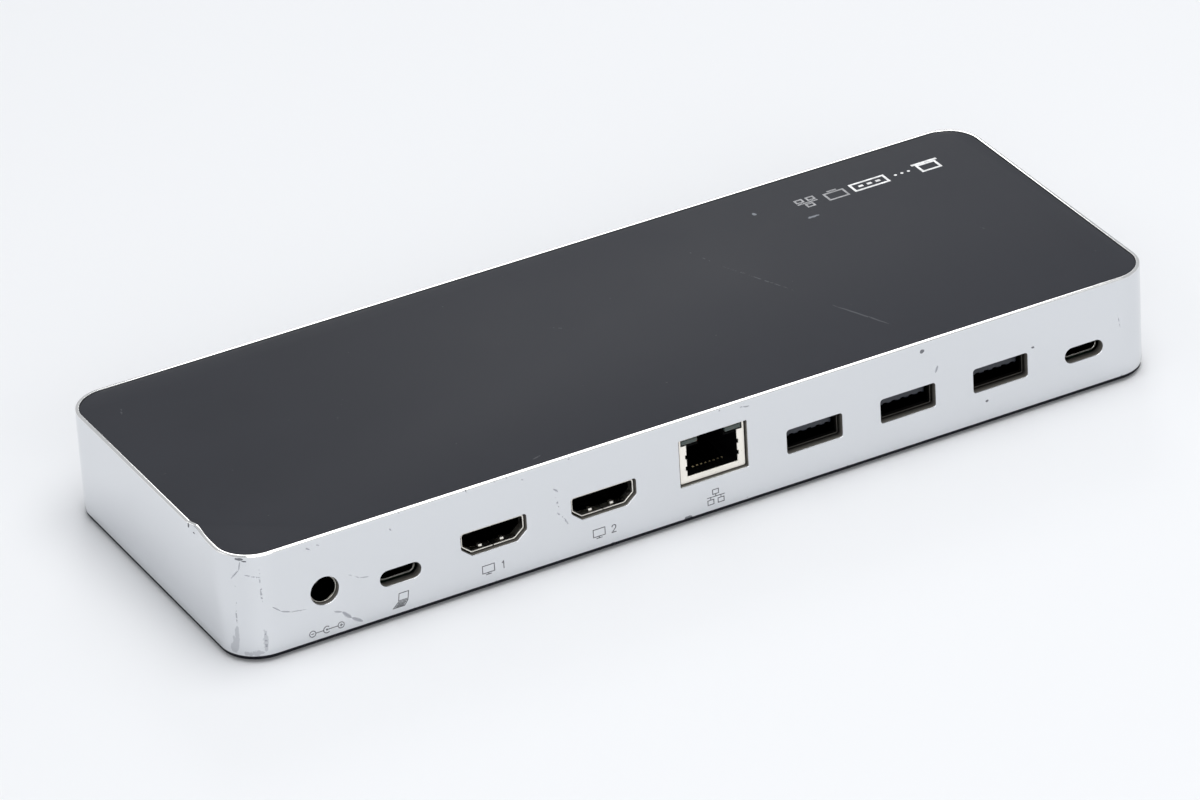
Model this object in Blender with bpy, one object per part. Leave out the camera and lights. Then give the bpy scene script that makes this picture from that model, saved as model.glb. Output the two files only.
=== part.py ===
"""Laptop docking station: a low box of a silver four-wall frame, a dark top panel and a
black bottom cover, with its circuit board and sockets inside.

Frame of reference: origin at the middle of the footprint on the table, +X along the length
(left to right when facing the long row of sockets), +Y away from that row, +Z up.
"""
import math

import bmesh
import bpy

MM = 0.001

# Overall size
LENGTH = 225.8 * MM
DEPTH = 82.6 * MM
HEIGHT = 26.0 * MM
CORNER_RADIUS = 8.8 * MM
CORNER_STEPS = 7

# Case build-up, measured from the table
FOOT_HEIGHT = 0.8 * MM
COVER_LOW = 0.6 * MM
COVER_FLOOR = 1.6 * MM
FRAME_LOW = 1.6 * MM
PANEL_THICKNESS = 1.1 * MM
LEDGE_THICKNESS = 1.5 * MM
LEDGE_INSET = 5.0 * MM
WALL = 2.0 * MM
RIM = 0.9 * MM
RIM_CHAMFER = 0.3 * MM
LIP_INSET = 2.3 * MM
LIP_THICKNESS = 1.5 * MM
LIP_TOP = 4.2 * MM
GAP = 0.3 * MM
FINE_GAP = 0.2 * MM

# Corner screws, feet and vents
SCREW_X = LENGTH / 2 - 8.0 * MM
SCREW_Y = DEPTH / 2 - 8.0 * MM
BOSS_RADIUS = 3.8 * MM
SCREW_RADIUS = 1.2 * MM
SCREW_HEAD_RADIUS = 2.6 * MM
SCREW_TOP = 12.0 * MM
FOOT_X = 88.0 * MM
FOOT_Y = 27.0 * MM
FOOT_RADIUS = 6.0 * MM
VENT_COUNT = 7
VENT_PITCH = 5.0 * MM
VENT_WIDTH = 2.0 * MM
VENT_LENGTH = 22.0 * MM
VENT_GROUP_X = 38.0 * MM

# Circuit board
BOARD_TOP = 8.8 * MM
BOARD_THICKNESS = 1.6 * MM
BOARD_HALF_LENGTH = 108.0 * MM
BOARD_HALF_DEPTH = 37.2 * MM
BOARD_NOTCH = 8.5 * MM
STANDOFF_X = 72.0 * MM
STANDOFF_Y = 17.0 * MM
STANDOFF_RADIUS = 2.6 * MM
BOARD_SCREW_RADIUS = 0.9 * MM
PART_LOW = BOARD_TOP + GAP

# Rear row of sockets: X of each middle, Z of each middle, opening size
REAR_FACE = -DEPTH / 2
SOCKET_SETBACK = 2.3 * MM
FLUSH_SETBACK = 0.8 * MM
SLEEVE_SETBACK = 1.0 * MM
DC_X = -92.15 * MM
DC_Z = 12.8 * MM
DC_HOLE_RADIUS = 3.3 * MM
TYPE_C_X = {"left": -74.4 * MM, "right": 94.25 * MM}
TYPE_C_Z = 10.8 * MM
TYPE_C_HOLE = (9.74 * MM, 3.77 * MM)
VIDEO_X = {"1": -52.05 * MM, "2": -25.55 * MM}
VIDEO_LOW = 9.65 * MM
VIDEO_HIGH = 15.6 * MM
VIDEO_HOLE_WIDTH = 15.74 * MM
VIDEO_SLANT = 2.5 * MM
VIDEO_SLANT_HEIGHT = 2.15 * MM
NETWORK_X = 1.35 * MM
NETWORK_LOW = 9.5 * MM
NETWORK_HIGH = 20.95 * MM
NETWORK_HOLE_WIDTH = 16.7 * MM
TYPE_A_FIRST_X = 26.2 * MM
TYPE_A_PITCH = 23.38 * MM
TYPE_A_Z = 12.2 * MM
TYPE_A_HOLE = (13.8 * MM, 5.9 * MM)
TYPE_A_SETBACK = 1.6 * MM

# Front side: power button, status light, charging socket and headset socket
FRONT_FACE = DEPTH / 2
BUTTON_X = 92.0 * MM
BUTTON_Z = 13.0 * MM
BUTTON_RADIUS = 3.6 * MM
BUTTON_TRAVEL = 0.5 * MM
LIGHT_X = 82.0 * MM
LIGHT_RADIUS = 0.8 * MM
CHARGE_X = 50.0 * MM
HEADSET_X = 24.0 * MM
HEADSET_Z = 12.4 * MM
HEADSET_HOLE_RADIUS = 3.2 * MM

CUT_OVERRUN = 1.0 * MM
ROUND_STEPS = 24


# ---------------------------------------------------------------- outlines

def circle(radius, steps=ROUND_STEPS):
    """Points of a circle, counter-clockwise."""
    return [(radius * math.cos(2 * math.pi * i / steps), radius * math.sin(2 * math.pi * i / steps))
            for i in range(steps)]


def rounded_rectangle(width, height, radius, steps=4):
    """A rectangle about the origin with four round corners."""
    if radius <= 0:
        return [(width / 2, -height / 2), (width / 2, height / 2),
                (-width / 2, height / 2), (-width / 2, -height / 2)]
    points = []
    for corner, (side_x, side_y) in enumerate(((1, 1), (-1, 1), (-1, -1), (1, -1))):
        middle_x = side_x * (width / 2 - radius)
        middle_y = side_y * (height / 2 - radius)
        for step in range(steps + 1):
            turn = math.radians(90 * corner + 90 * step / steps)
            points.append((middle_x + radius * math.cos(turn), middle_y + radius * math.sin(turn)))
    return points


def case_outline(inset):
    """The footprint of the case, drawn in by an inset."""
    return rounded_rectangle(LENGTH - 2 * inset, DEPTH - 2 * inset, CORNER_RADIUS - inset, CORNER_STEPS)


def video_outline(width, low, high, shrink=0.0):
    """A video socket seen from its mouth: a box with both lower corners cut slantwise."""
    half = width / 2 - shrink
    slant_top = low + VIDEO_SLANT_HEIGHT + shrink * 0.4
    slant_foot = half - VIDEO_SLANT + shrink * 0.3
    corner = 0.8 * MM
    return [(-slant_foot, low + shrink), (slant_foot, low + shrink), (half, slant_top),
            (half, high - shrink - corner), (half - corner, high - shrink),
            (corner - half, high - shrink), (-half, high - shrink - corner), (-half, slant_top)]


def moved(outline, shift_x, shift_y):
    return [(x + shift_x, y + shift_y) for x, y in outline]


# ---------------------------------------------------------------- meshes

def upright(x, y, height):
    return (x, y, height)


def lying(x, z, depth):
    return (x, depth, z)


def skin(bm, sections, place=upright, ring=False):
    """Join outlines given as (outline, level) into one closed skin.

    A ring's last section joins its first one again, which leaves a hole through the middle;
    otherwise the two end sections are capped.
    """
    loops = [[bm.verts.new(place(x, y, level)) for x, y in outline] for outline, level in sections]
    pairs = list(zip(loops, loops[1:]))
    if ring:
        pairs.append((loops[-1], loops[0]))
    for lower, upper in pairs:
        count = len(lower)
        for i in range(count):
            after = (i + 1) % count
            bm.faces.new((lower[i], lower[after], upper[after], upper[i]))
    if not ring:
        bm.faces.new(list(reversed(loops[0])))
        bm.faces.new(loops[-1])


def block(bm, low, high):
    """A box between two corners."""
    outline = [(low[0], low[1]), (high[0], low[1]), (high[0], high[1]), (low[0], high[1])]
    skin(bm, [(outline, low[2]), (outline, high[2])])


def pillar(bm, x, y, radius, low, high, steps=ROUND_STEPS):
    outline = moved(circle(radius, steps), x, y)
    skin(bm, [(outline, low), (outline, high)])


def four_corners(x, y):
    return [(side_x * x, side_y * y) for side_y in (-1, 1) for side_x in (-1, 1)]


# ---------------------------------------------------------------- objects

def material(name, colour, roughness, metallic):
    """The plain finish of one sub-part."""
    finish = bpy.data.materials.new(name)
    finish.use_nodes = True
    shader = finish.node_tree.nodes["Principled BSDF"]
    shader.inputs["Base Color"].default_value = (*colour, 1.0)
    shader.inputs["Roughness"].default_value = roughness
    shader.inputs["Metallic"].default_value = metallic
    return finish


SILVER = ((0.62, 0.64, 0.67), 0.32, 0.85)
CHARCOAL = ((0.045, 0.046, 0.052), 0.45, 0.0)
BLACK_PLASTIC = ((0.012, 0.012, 0.013), 0.5, 0.0)
BLACK_RUBBER = ((0.02, 0.02, 0.02), 0.8, 0.0)
STEEL = ((0.6, 0.6, 0.58), 0.3, 1.0)
DARK_STEEL = ((0.09, 0.085, 0.08), 0.4, 1.0)
GOLD = ((0.8, 0.6, 0.25), 0.3, 1.0)
BOARD_MASK = ((0.008, 0.02, 0.014), 0.45, 0.0)
CHIP_BLACK = ((0.02, 0.02, 0.022), 0.55, 0.0)
ALUMINIUM = ((0.7, 0.7, 0.7), 0.4, 1.0)
CLEAR_PLASTIC = ((0.35, 0.4, 0.33), 0.25, 0.0)
PAD_GREY = ((0.35, 0.36, 0.4), 0.9, 0.0)


def finished(name, bm, finish, location=(0, 0, 0), parent=None, turn=0.0, smooth=True):
    """Turn a bmesh into a named object with its own material."""
    bmesh.ops.recalc_face_normals(bm, faces=bm.faces)
    mesh = bpy.data.meshes.new(name)
    bm.to_mesh(mesh)
    bm.free()
    if smooth:
        mesh.shade_smooth()
        mesh.set_sharp_from_angle(angle=math.radians(35))
    mesh.materials.append(material(name, *finish))
    piece = bpy.data.objects.new(name, mesh)
    bpy.context.collection.objects.link(piece)
    piece.location = location
    piece.rotation_euler = (0, 0, turn)
    piece.parent = parent
    return piece


def shape(piece, name, bm, operation):
    """Add or take away a helper shape, which itself stays out of the model."""
    bmesh.ops.recalc_face_normals(bm, faces=bm.faces)
    mesh = bpy.data.meshes.new(name)
    bm.to_mesh(mesh)
    bm.free()
    helper = bpy.data.objects.new(name, mesh)
    bpy.context.collection.objects.link(helper)
    helper.location = piece.location
    helper.rotation_euler = piece.rotation_euler
    helper.parent = piece.parent
    helper.hide_render = True
    helper.display_type = "WIRE"
    boolean = piece.modifiers.new(name, "BOOLEAN")
    boolean.operation = operation
    boolean.object = helper
    boolean.solver = "EXACT"


# ---------------------------------------------------------------- case

def rear_openings(bm):
    """Everything cut through the wall that carries the row of sockets."""
    ends = (REAR_FACE - CUT_OVERRUN, REAR_FACE + WALL + CUT_OVERRUN)

    def through(outline, x, z):
        placed = moved(outline, x, z)
        skin(bm, [(placed, ends[0]), (placed, ends[1])], lying)

    through(circle(DC_HOLE_RADIUS), DC_X, DC_Z)
    for x in TYPE_C_X.values():
        through(rounded_rectangle(*TYPE_C_HOLE, TYPE_C_HOLE[1] / 2, 6), x, TYPE_C_Z)
    for x in VIDEO_X.values():
        through(video_outline(VIDEO_HOLE_WIDTH, VIDEO_LOW, VIDEO_HIGH), x, 0)
    network = rounded_rectangle(NETWORK_HOLE_WIDTH, NETWORK_HIGH - NETWORK_LOW, 0)
    through(network, NETWORK_X, (NETWORK_LOW + NETWORK_HIGH) / 2)
    for number in range(3):
        hole = rounded_rectangle(*TYPE_A_HOLE, 0.7 * MM, 3)
        through(hole, TYPE_A_FIRST_X + number * TYPE_A_PITCH, TYPE_A_Z)


def front_openings(bm):
    """Everything cut through the wall that faces the user."""
    ends = (FRONT_FACE - WALL - CUT_OVERRUN, FRONT_FACE + CUT_OVERRUN)

    def through(outline, x, z):
        placed = moved(outline, x, z)
        skin(bm, [(placed, ends[0]), (placed, ends[1])], lying)

    through(circle(BUTTON_RADIUS + GAP), BUTTON_X, BUTTON_Z)
    through(circle(LIGHT_RADIUS + FINE_GAP, 12), LIGHT_X, BUTTON_Z)
    through(rounded_rectangle(*TYPE_A_HOLE, 0.7 * MM, 3), CHARGE_X, TYPE_A_Z)
    through(circle(HEADSET_HOLE_RADIUS), HEADSET_X, HEADSET_Z)


def silver_frame(parent):
    """Four plated walls with a thin rim round the top and a ledge that carries the panel."""
    ledge_top = HEIGHT - 0.1 * MM - PANEL_THICKNESS - GAP
    bm = bmesh.new()
    skin(bm, [(case_outline(0), FRAME_LOW),
              (case_outline(0), HEIGHT - RIM_CHAMFER),
              (case_outline(RIM_CHAMFER), HEIGHT),
              (case_outline(RIM), HEIGHT),
              (case_outline(RIM), ledge_top),
              (case_outline(LEDGE_INSET), ledge_top),
              (case_outline(LEDGE_INSET), ledge_top - LEDGE_THICKNESS),
              (case_outline(WALL), ledge_top - LEDGE_THICKNESS),
              (case_outline(WALL), FRAME_LOW)], ring=True)
    frame = finished("silver_frame", bm, SILVER, parent=parent)

    bosses = bmesh.new()
    boss_low = LIP_TOP + GAP
    boss_top = ledge_top - 0.5 * MM
    rib = 0.8 * MM
    for x, y in four_corners(SCREW_X, SCREW_Y):
        pillar(bosses, x, y, BOSS_RADIUS, boss_low, boss_top)
    shape(frame, "frame_bosses", bosses, "UNION")
    ribs = bmesh.new()
    for x, y in four_corners(SCREW_X, SCREW_Y):
        end_x = math.copysign(LENGTH / 2 - WALL + 0.5 * MM, x)
        start_x = x + math.copysign(BOSS_RADIUS - 1.0 * MM, x)
        block(ribs, (min(start_x, end_x), y - rib, boss_low + 1 * MM),
              (max(start_x, end_x), y + rib, boss_top - 0.4 * MM))
    shape(frame, "frame_ribs", ribs, "UNION")

    bores = bmesh.new()
    for x, y in four_corners(SCREW_X, SCREW_Y):
        pillar(bores, x, y, SCREW_RADIUS + GAP, boss_low - CUT_OVERRUN, SCREW_TOP + CUT_OVERRUN, 16)
    shape(frame, "frame_screw_bores", bores, "DIFFERENCE")

    for name, openings in (("rear_openings", rear_openings), ("front_openings", front_openings)):
        cutter = bmesh.new()
        openings(cutter)
        shape(frame, name, cutter, "DIFFERENCE")


def top_panel(parent):
    """A flat charcoal sheet that drops into the rim of the frame."""
    top = HEIGHT - 0.1 * MM
    side = RIM + FINE_GAP
    bm = bmesh.new()
    skin(bm, [(case_outline(side), top - PANEL_THICKNESS),
              (case_outline(side), top - 0.15 * MM),
              (case_outline(side + 0.15 * MM), top)])
    finished("top_panel", bm, CHARCOAL, parent=parent)


def bottom_cover(parent):
    """A black moulded tray: a chamfered edge under the frame and a lip that stands inside it."""
    floor_top = COVER_LOW + COVER_FLOOR
    flange_top = FRAME_LOW - GAP
    bm = bmesh.new()
    skin(bm, [(case_outline(0.7 * MM), COVER_LOW),
              (case_outline(0.3 * MM), COVER_LOW + 0.3 * MM),
              (case_outline(0.3 * MM), flange_top),
              (case_outline(LIP_INSET), flange_top),
              (case_outline(LIP_INSET), LIP_TOP),
              (case_outline(LIP_INSET + LIP_THICKNESS), LIP_TOP),
              (case_outline(LIP_INSET + LIP_THICKNESS), floor_top)])
    cover = finished("bottom_cover", bm, BLACK_PLASTIC, parent=parent)

    pillars = bmesh.new()
    for x, y in four_corners(SCREW_X, SCREW_Y):
        pillar(pillars, x, y, BOSS_RADIUS, floor_top - 0.8 * MM, LIP_TOP - 0.2 * MM)
    for x, y in four_corners(STANDOFF_X, STANDOFF_Y):
        pillar(pillars, x, y, STANDOFF_RADIUS, floor_top - 0.8 * MM,
               BOARD_TOP - BOARD_THICKNESS - GAP, 16)
    shape(cover, "cover_pillars", pillars, "UNION")

    holes = bmesh.new()
    head_seat = COVER_LOW + 1.8 * MM
    for x, y in four_corners(SCREW_X, SCREW_Y):
        outer = moved(circle(SCREW_HEAD_RADIUS + GAP), x, y)
        inner = moved(circle(SCREW_RADIUS + GAP), x, y)
        skin(holes, [(outer, COVER_LOW - CUT_OVERRUN), (outer, head_seat),
                     (inner, head_seat), (inner, LIP_TOP + CUT_OVERRUN)])
    for x, y in four_corners(STANDOFF_X, STANDOFF_Y):
        pillar(holes, x, y, BOARD_SCREW_RADIUS + GAP, floor_top, BOARD_TOP, 12)
    for x, y in four_corners(FOOT_X, FOOT_Y):
        pillar(holes, x, y, FOOT_RADIUS + GAP, COVER_LOW - CUT_OVERRUN, FOOT_HEIGHT + GAP)
    slot = rounded_rectangle(VENT_WIDTH, VENT_LENGTH, VENT_WIDTH / 2, 3)
    for group in (-1, 1):
        for number in range(VENT_COUNT):
            x = group * VENT_GROUP_X + (number - (VENT_COUNT - 1) / 2) * VENT_PITCH
            placed = moved(slot, x, 0)
            skin(holes, [(placed, COVER_LOW - CUT_OVERRUN), (placed, floor_top + CUT_OVERRUN)])
    shape(cover, "cover_holes", holes, "DIFFERENCE")


def feet(parent):
    """Four round rubber pads stuck in shallow seats under the cover."""
    for number, (x, y) in enumerate(four_corners(FOOT_X, FOOT_Y), 1):
        bm = bmesh.new()
        edge = 0.25 * MM
        skin(bm, [(circle(FOOT_RADIUS - edge), 0), (circle(FOOT_RADIUS), edge),
                  (circle(FOOT_RADIUS), FOOT_HEIGHT)])
        finished(f"foot_{number}", bm, BLACK_RUBBER, (x, y, 0), parent)


def screw(name, location, parent, shank, head, head_height, length, points_down=False):
    """A screw with a six-sided recess; its head's outer face is at the location."""
    way = -1 if points_down else 1
    bm = bmesh.new()
    skin(bm, [(circle(head, 16), 0), (circle(head, 16), way * head_height),
              (circle(shank, 16), way * head_height), (circle(shank, 16), way * length)])
    piece = finished(name, bm, DARK_STEEL, location, parent)
    recess = bmesh.new()
    hexagon = circle(head * 0.45, 6)
    skin(recess, [(hexagon, -way * CUT_OVERRUN), (hexagon, way * head_height * 0.5)])
    shape(piece, name + "_recess", recess, "DIFFERENCE")


def case_screws(parent):
    """Four screws that go up through the cover into the frame's bosses."""
    head_low = COVER_LOW + 0.4 * MM
    for number, (x, y) in enumerate(four_corners(SCREW_X, SCREW_Y), 1):
        screw(f"case_screw_{number}", (x, y, head_low), parent,
              SCREW_RADIUS, SCREW_HEAD_RADIUS, 1.1 * MM, SCREW_TOP - head_low)


# ---------------------------------------------------------------- board

def main_board(parent):
    """The circuit board, notched at its corners to clear the frame's bosses."""
    half_x, half_y, notch = BOARD_HALF_LENGTH, BOARD_HALF_DEPTH, BOARD_NOTCH
    outline = [(half_x - notch, -half_y), (half_x - notch, notch - half_y), (half_x, notch - half_y),
               (half_x, half_y - notch), (half_x - notch, half_y - notch), (half_x - notch, half_y),
               (notch - half_x, half_y), (notch - half_x, half_y - notch), (-half_x, half_y - notch),
               (-half_x, notch - half_y), (notch - half_x, notch - half_y), (notch - half_x, -half_y)]
    bm = bmesh.new()
    skin(bm, [(outline, BOARD_TOP - BOARD_THICKNESS), (outline, BOARD_TOP)])
    board = finished("main_board", bm, BOARD_MASK, parent=parent)
    holes = bmesh.new()
    for x, y in four_corners(STANDOFF_X, STANDOFF_Y):
        pillar(holes, x, y, BOARD_SCREW_RADIUS + GAP, BOARD_TOP - BOARD_THICKNESS - CUT_OVERRUN,
               BOARD_TOP + CUT_OVERRUN, 12)
    shape(board, "board_holes", holes, "DIFFERENCE")


def board_screws(parent):
    """Four screws that hold the board on the cover's standoffs."""
    head_height = 1.2 * MM
    for number, (x, y) in enumerate(four_corners(STANDOFF_X, STANDOFF_Y), 1):
        screw(f"board_screw_{number}", (x, y, PART_LOW + head_height), parent,
              BOARD_SCREW_RADIUS, 2.0 * MM, head_height, 6.0 * MM, points_down=True)


def board_block(name, x, y, size, finish, parent, low=PART_LOW):
    """A box-shaped component standing on the board."""
    edge = min(size) * 0.08
    bm = bmesh.new()
    base = rounded_rectangle(size[0], size[1], 0)
    top = rounded_rectangle(size[0] - 2 * edge, size[1] - 2 * edge, 0)
    skin(bm, [(base, 0), (base, size[2] - edge), (top, size[2])])
    finished(name, bm, finish, (x, y, low), parent, smooth=False)


def board_parts(parent):
    """Controllers, power stage and the heat sink over the hottest chip."""
    hub_x, hub_y, hub_height = -36.0 * MM, -6.0 * MM, 1.1 * MM
    board_block("video_hub_chip", hub_x, hub_y, (14 * MM, 14 * MM, hub_height), CHIP_BLACK, parent)
    board_block("data_hub_chip", 46 * MM, -8 * MM, (9 * MM, 9 * MM, 0.9 * MM), CHIP_BLACK, parent)
    board_block("network_chip", 1.3 * MM, -6 * MM, (8 * MM, 8 * MM, 0.9 * MM), CHIP_BLACK, parent)
    board_block("power_chip", -78 * MM, -10 * MM, (6 * MM, 6 * MM, 0.9 * MM), CHIP_BLACK, parent)
    board_block("network_transformer", 1.3 * MM, 8 * MM, (16 * MM, 12 * MM, 5.5 * MM), CHIP_BLACK, parent)
    board_block("clock_crystal", 20 * MM, -8 * MM, (5 * MM, 3.2 * MM, 1.2 * MM), STEEL, parent)
    for number, (x, y) in enumerate(((-92, -8), (-92, 6), (64, 2)), 1):
        board_block(f"power_inductor_{number}", x * MM, y * MM, (10 * MM, 10 * MM, 4.5 * MM),
                    PAD_GREY, parent)
    for number, x in enumerate((-80, -70, -60), 1):
        bm = bmesh.new()
        groove = 0.25 * MM
        can = 3.15 * MM
        skin(bm, [(circle(can, 16), 0), (circle(can, 16), 1.0 * MM), (circle(can - groove, 16), 1.3 * MM),
                  (circle(can, 16), 1.6 * MM), (circle(can, 16), 7.2 * MM),
                  (circle(can - groove, 16), 7.5 * MM)])
        finished(f"capacitor_{number}", bm, ALUMINIUM, (x * MM, 28 * MM, PART_LOW), parent)

    pad_low = PART_LOW + hub_height + GAP
    pad_height = 0.7 * MM
    board_block("thermal_pad", hub_x, hub_y, (13 * MM, 13 * MM, pad_height), PAD_GREY, parent, pad_low)

    sink_low = pad_low + pad_height + GAP
    base, fin, fin_height, fins, side = 1.6 * MM, 1.2 * MM, 5.4 * MM, 7, 24 * MM
    pitch = (side - fin) / (fins - 1)
    outline = [(-side / 2, 0), (side / 2, 0)]
    for number in range(fins):
        right = side / 2 - number * pitch
        outline += [(right, base + fin_height), (right - fin, base + fin_height)]
        if number < fins - 1:
            outline += [(right - fin, base), (right - pitch, base)]
    bm = bmesh.new()
    skin(bm, [(outline, -side / 2), (outline, side / 2)], lying)
    finished("heat_sink", bm, ALUMINIUM, (hub_x, hub_y, sink_low), parent, smooth=False)


# ---------------------------------------------------------------- sockets

def shell(name, outer, inner, depth, finish, location, parent, turn=0.0):
    """A drawn metal shell: a tube of any outline, open at its mouth and at its back."""
    bm = bmesh.new()
    skin(bm, [(outer, 0), (outer, depth), (inner, depth), (inner, 0)], lying, ring=True)
    finished(name, bm, finish, location, parent, turn)


def insert(name, back_outline, back, tongue_size, tongue_z, finish, location, parent, turn=0.0):
    """The moulded insert of a socket: a block at the back with a flat tongue reaching forward."""
    back_start, back_end = back
    width, height, tip = tongue_size
    bm = bmesh.new()
    skin(bm, [(back_outline, back_start), (back_outline, back_end)], lying)
    piece = finished(name, bm, finish, location, parent, turn, smooth=False)
    tongue = bmesh.new()
    block(tongue, (-width / 2, tip, tongue_z - height / 2),
          (width / 2, back_start + 1.0 * MM, tongue_z + height / 2))
    shape(piece, name + "_tongue_helper", tongue, "UNION")


def power_socket(parent):
    """A round socket for the supply's plug: moulded body, spring sleeve and centre pin."""
    location = (DC_X, REAR_FACE + SOCKET_SETBACK, DC_Z)
    body_depth = 12.0 * MM
    bore_depth = 9.5 * MM
    sleeve = 3.15 * MM
    sleeve_wall = 0.2 * MM
    sleeve_front = SLEEVE_SETBACK - SOCKET_SETBACK
    body_low = PART_LOW - DC_Z
    body_outline = [(-4.5 * MM, body_low), (4.5 * MM, body_low), (4.5 * MM, 4.6 * MM), (-4.5 * MM, 4.6 * MM)]
    bm = bmesh.new()
    skin(bm, [(body_outline, 0), (body_outline, body_depth)], lying)
    body = finished("power_socket_body", bm, BLACK_PLASTIC, location, parent)
    bore = bmesh.new()
    skin(bore, [(circle(sleeve + FINE_GAP), -CUT_OVERRUN), (circle(sleeve + FINE_GAP), bore_depth)], lying)
    shape(body, "power_socket_bore", bore, "DIFFERENCE")
    outer, inner = circle(sleeve), circle(sleeve - sleeve_wall)
    bm = bmesh.new()
    skin(bm, [(outer, sleeve_front), (outer, bore_depth - GAP), (inner, bore_depth - GAP), (inner, sleeve_front)],
         lying, ring=True)
    finished("power_socket_sleeve", bm, STEEL, location, parent)
    pin = 0.9 * MM
    bm = bmesh.new()
    skin(bm, [(circle(pin * 0.5, 16), 2.0 * MM), (circle(pin, 16), 2.5 * MM),
              (circle(pin, 16), bore_depth - GAP)], lying)
    finished("power_socket_pin", bm, STEEL, location, parent)


def type_c_sockets(parent):
    """Two flat oval sockets, each a steel shell round a thin tongue."""
    wall = 0.3 * MM
    width, height, depth = 8.94 * MM, 3.16 * MM, 7.5 * MM
    outer = rounded_rectangle(width, height, height / 2, 6)
    inner = rounded_rectangle(width - 2 * wall, height - 2 * wall, height / 2 - wall, 6)
    margin = 2 * (wall + FINE_GAP)
    back = rounded_rectangle(width - margin, height - margin, (height - margin) / 2, 6)
    for side, x in TYPE_C_X.items():
        location = (x, REAR_FACE + SOCKET_SETBACK, TYPE_C_Z)
        shell(f"type_c_shell_{side}", outer, inner, depth, STEEL, location, parent)
        insert(f"type_c_tongue_{side}", back, (5.6 * MM, depth), (6.6 * MM, 0.7 * MM, 0.8 * MM), 0,
               BLACK_PLASTIC, location, parent)


def video_sockets(parent):
    """Two wide sockets with slanted lower corners, each a steel shell round a black insert."""
    wall = 0.3 * MM
    clearance = 0.35 * MM
    depth = 12.5 * MM
    for number, x in VIDEO_X.items():
        location = (x, REAR_FACE + FLUSH_SETBACK, 0)
        outer = video_outline(VIDEO_HOLE_WIDTH, VIDEO_LOW, VIDEO_HIGH, clearance)
        inner = video_outline(VIDEO_HOLE_WIDTH, VIDEO_LOW, VIDEO_HIGH, clearance + wall)
        back = video_outline(VIDEO_HOLE_WIDTH, VIDEO_LOW, VIDEO_HIGH, clearance + wall + FINE_GAP)
        shell(f"video_shell_{number}", outer, inner, depth, STEEL, location, parent)
        insert(f"video_tongue_{number}", back, (10.0 * MM, depth), (10.2 * MM, 1.3 * MM, 3.1 * MM),
               13.4 * MM, BLACK_PLASTIC, location, parent)


def type_a_socket(label, location, parent, turn=0.0):
    """A rectangular data socket: a shell with its tongue under the roof."""
    wall = 0.3 * MM
    width, height, depth = 13.1 * MM, 5.3 * MM, 13.5 * MM
    outer = rounded_rectangle(width, height, 0.5 * MM, 2)
    inner = rounded_rectangle(width - 2 * wall, height - 2 * wall, 0.2 * MM, 2)
    margin = 2 * (wall + FINE_GAP)
    back = rounded_rectangle(width - margin, height - margin, 0.2 * MM, 2)
    tongue_height = 1.8 * MM
    tongue_z = height / 2 - wall - 0.7 * MM - tongue_height / 2
    shell(f"type_a_shell_{label}", outer, inner, depth, DARK_STEEL, location, parent, turn)
    insert(f"type_a_tongue_{label}", back, (10.8 * MM, depth), (11.1 * MM, tongue_height, 1.0 * MM),
           tongue_z, BLACK_PLASTIC, location, parent, turn)


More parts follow.
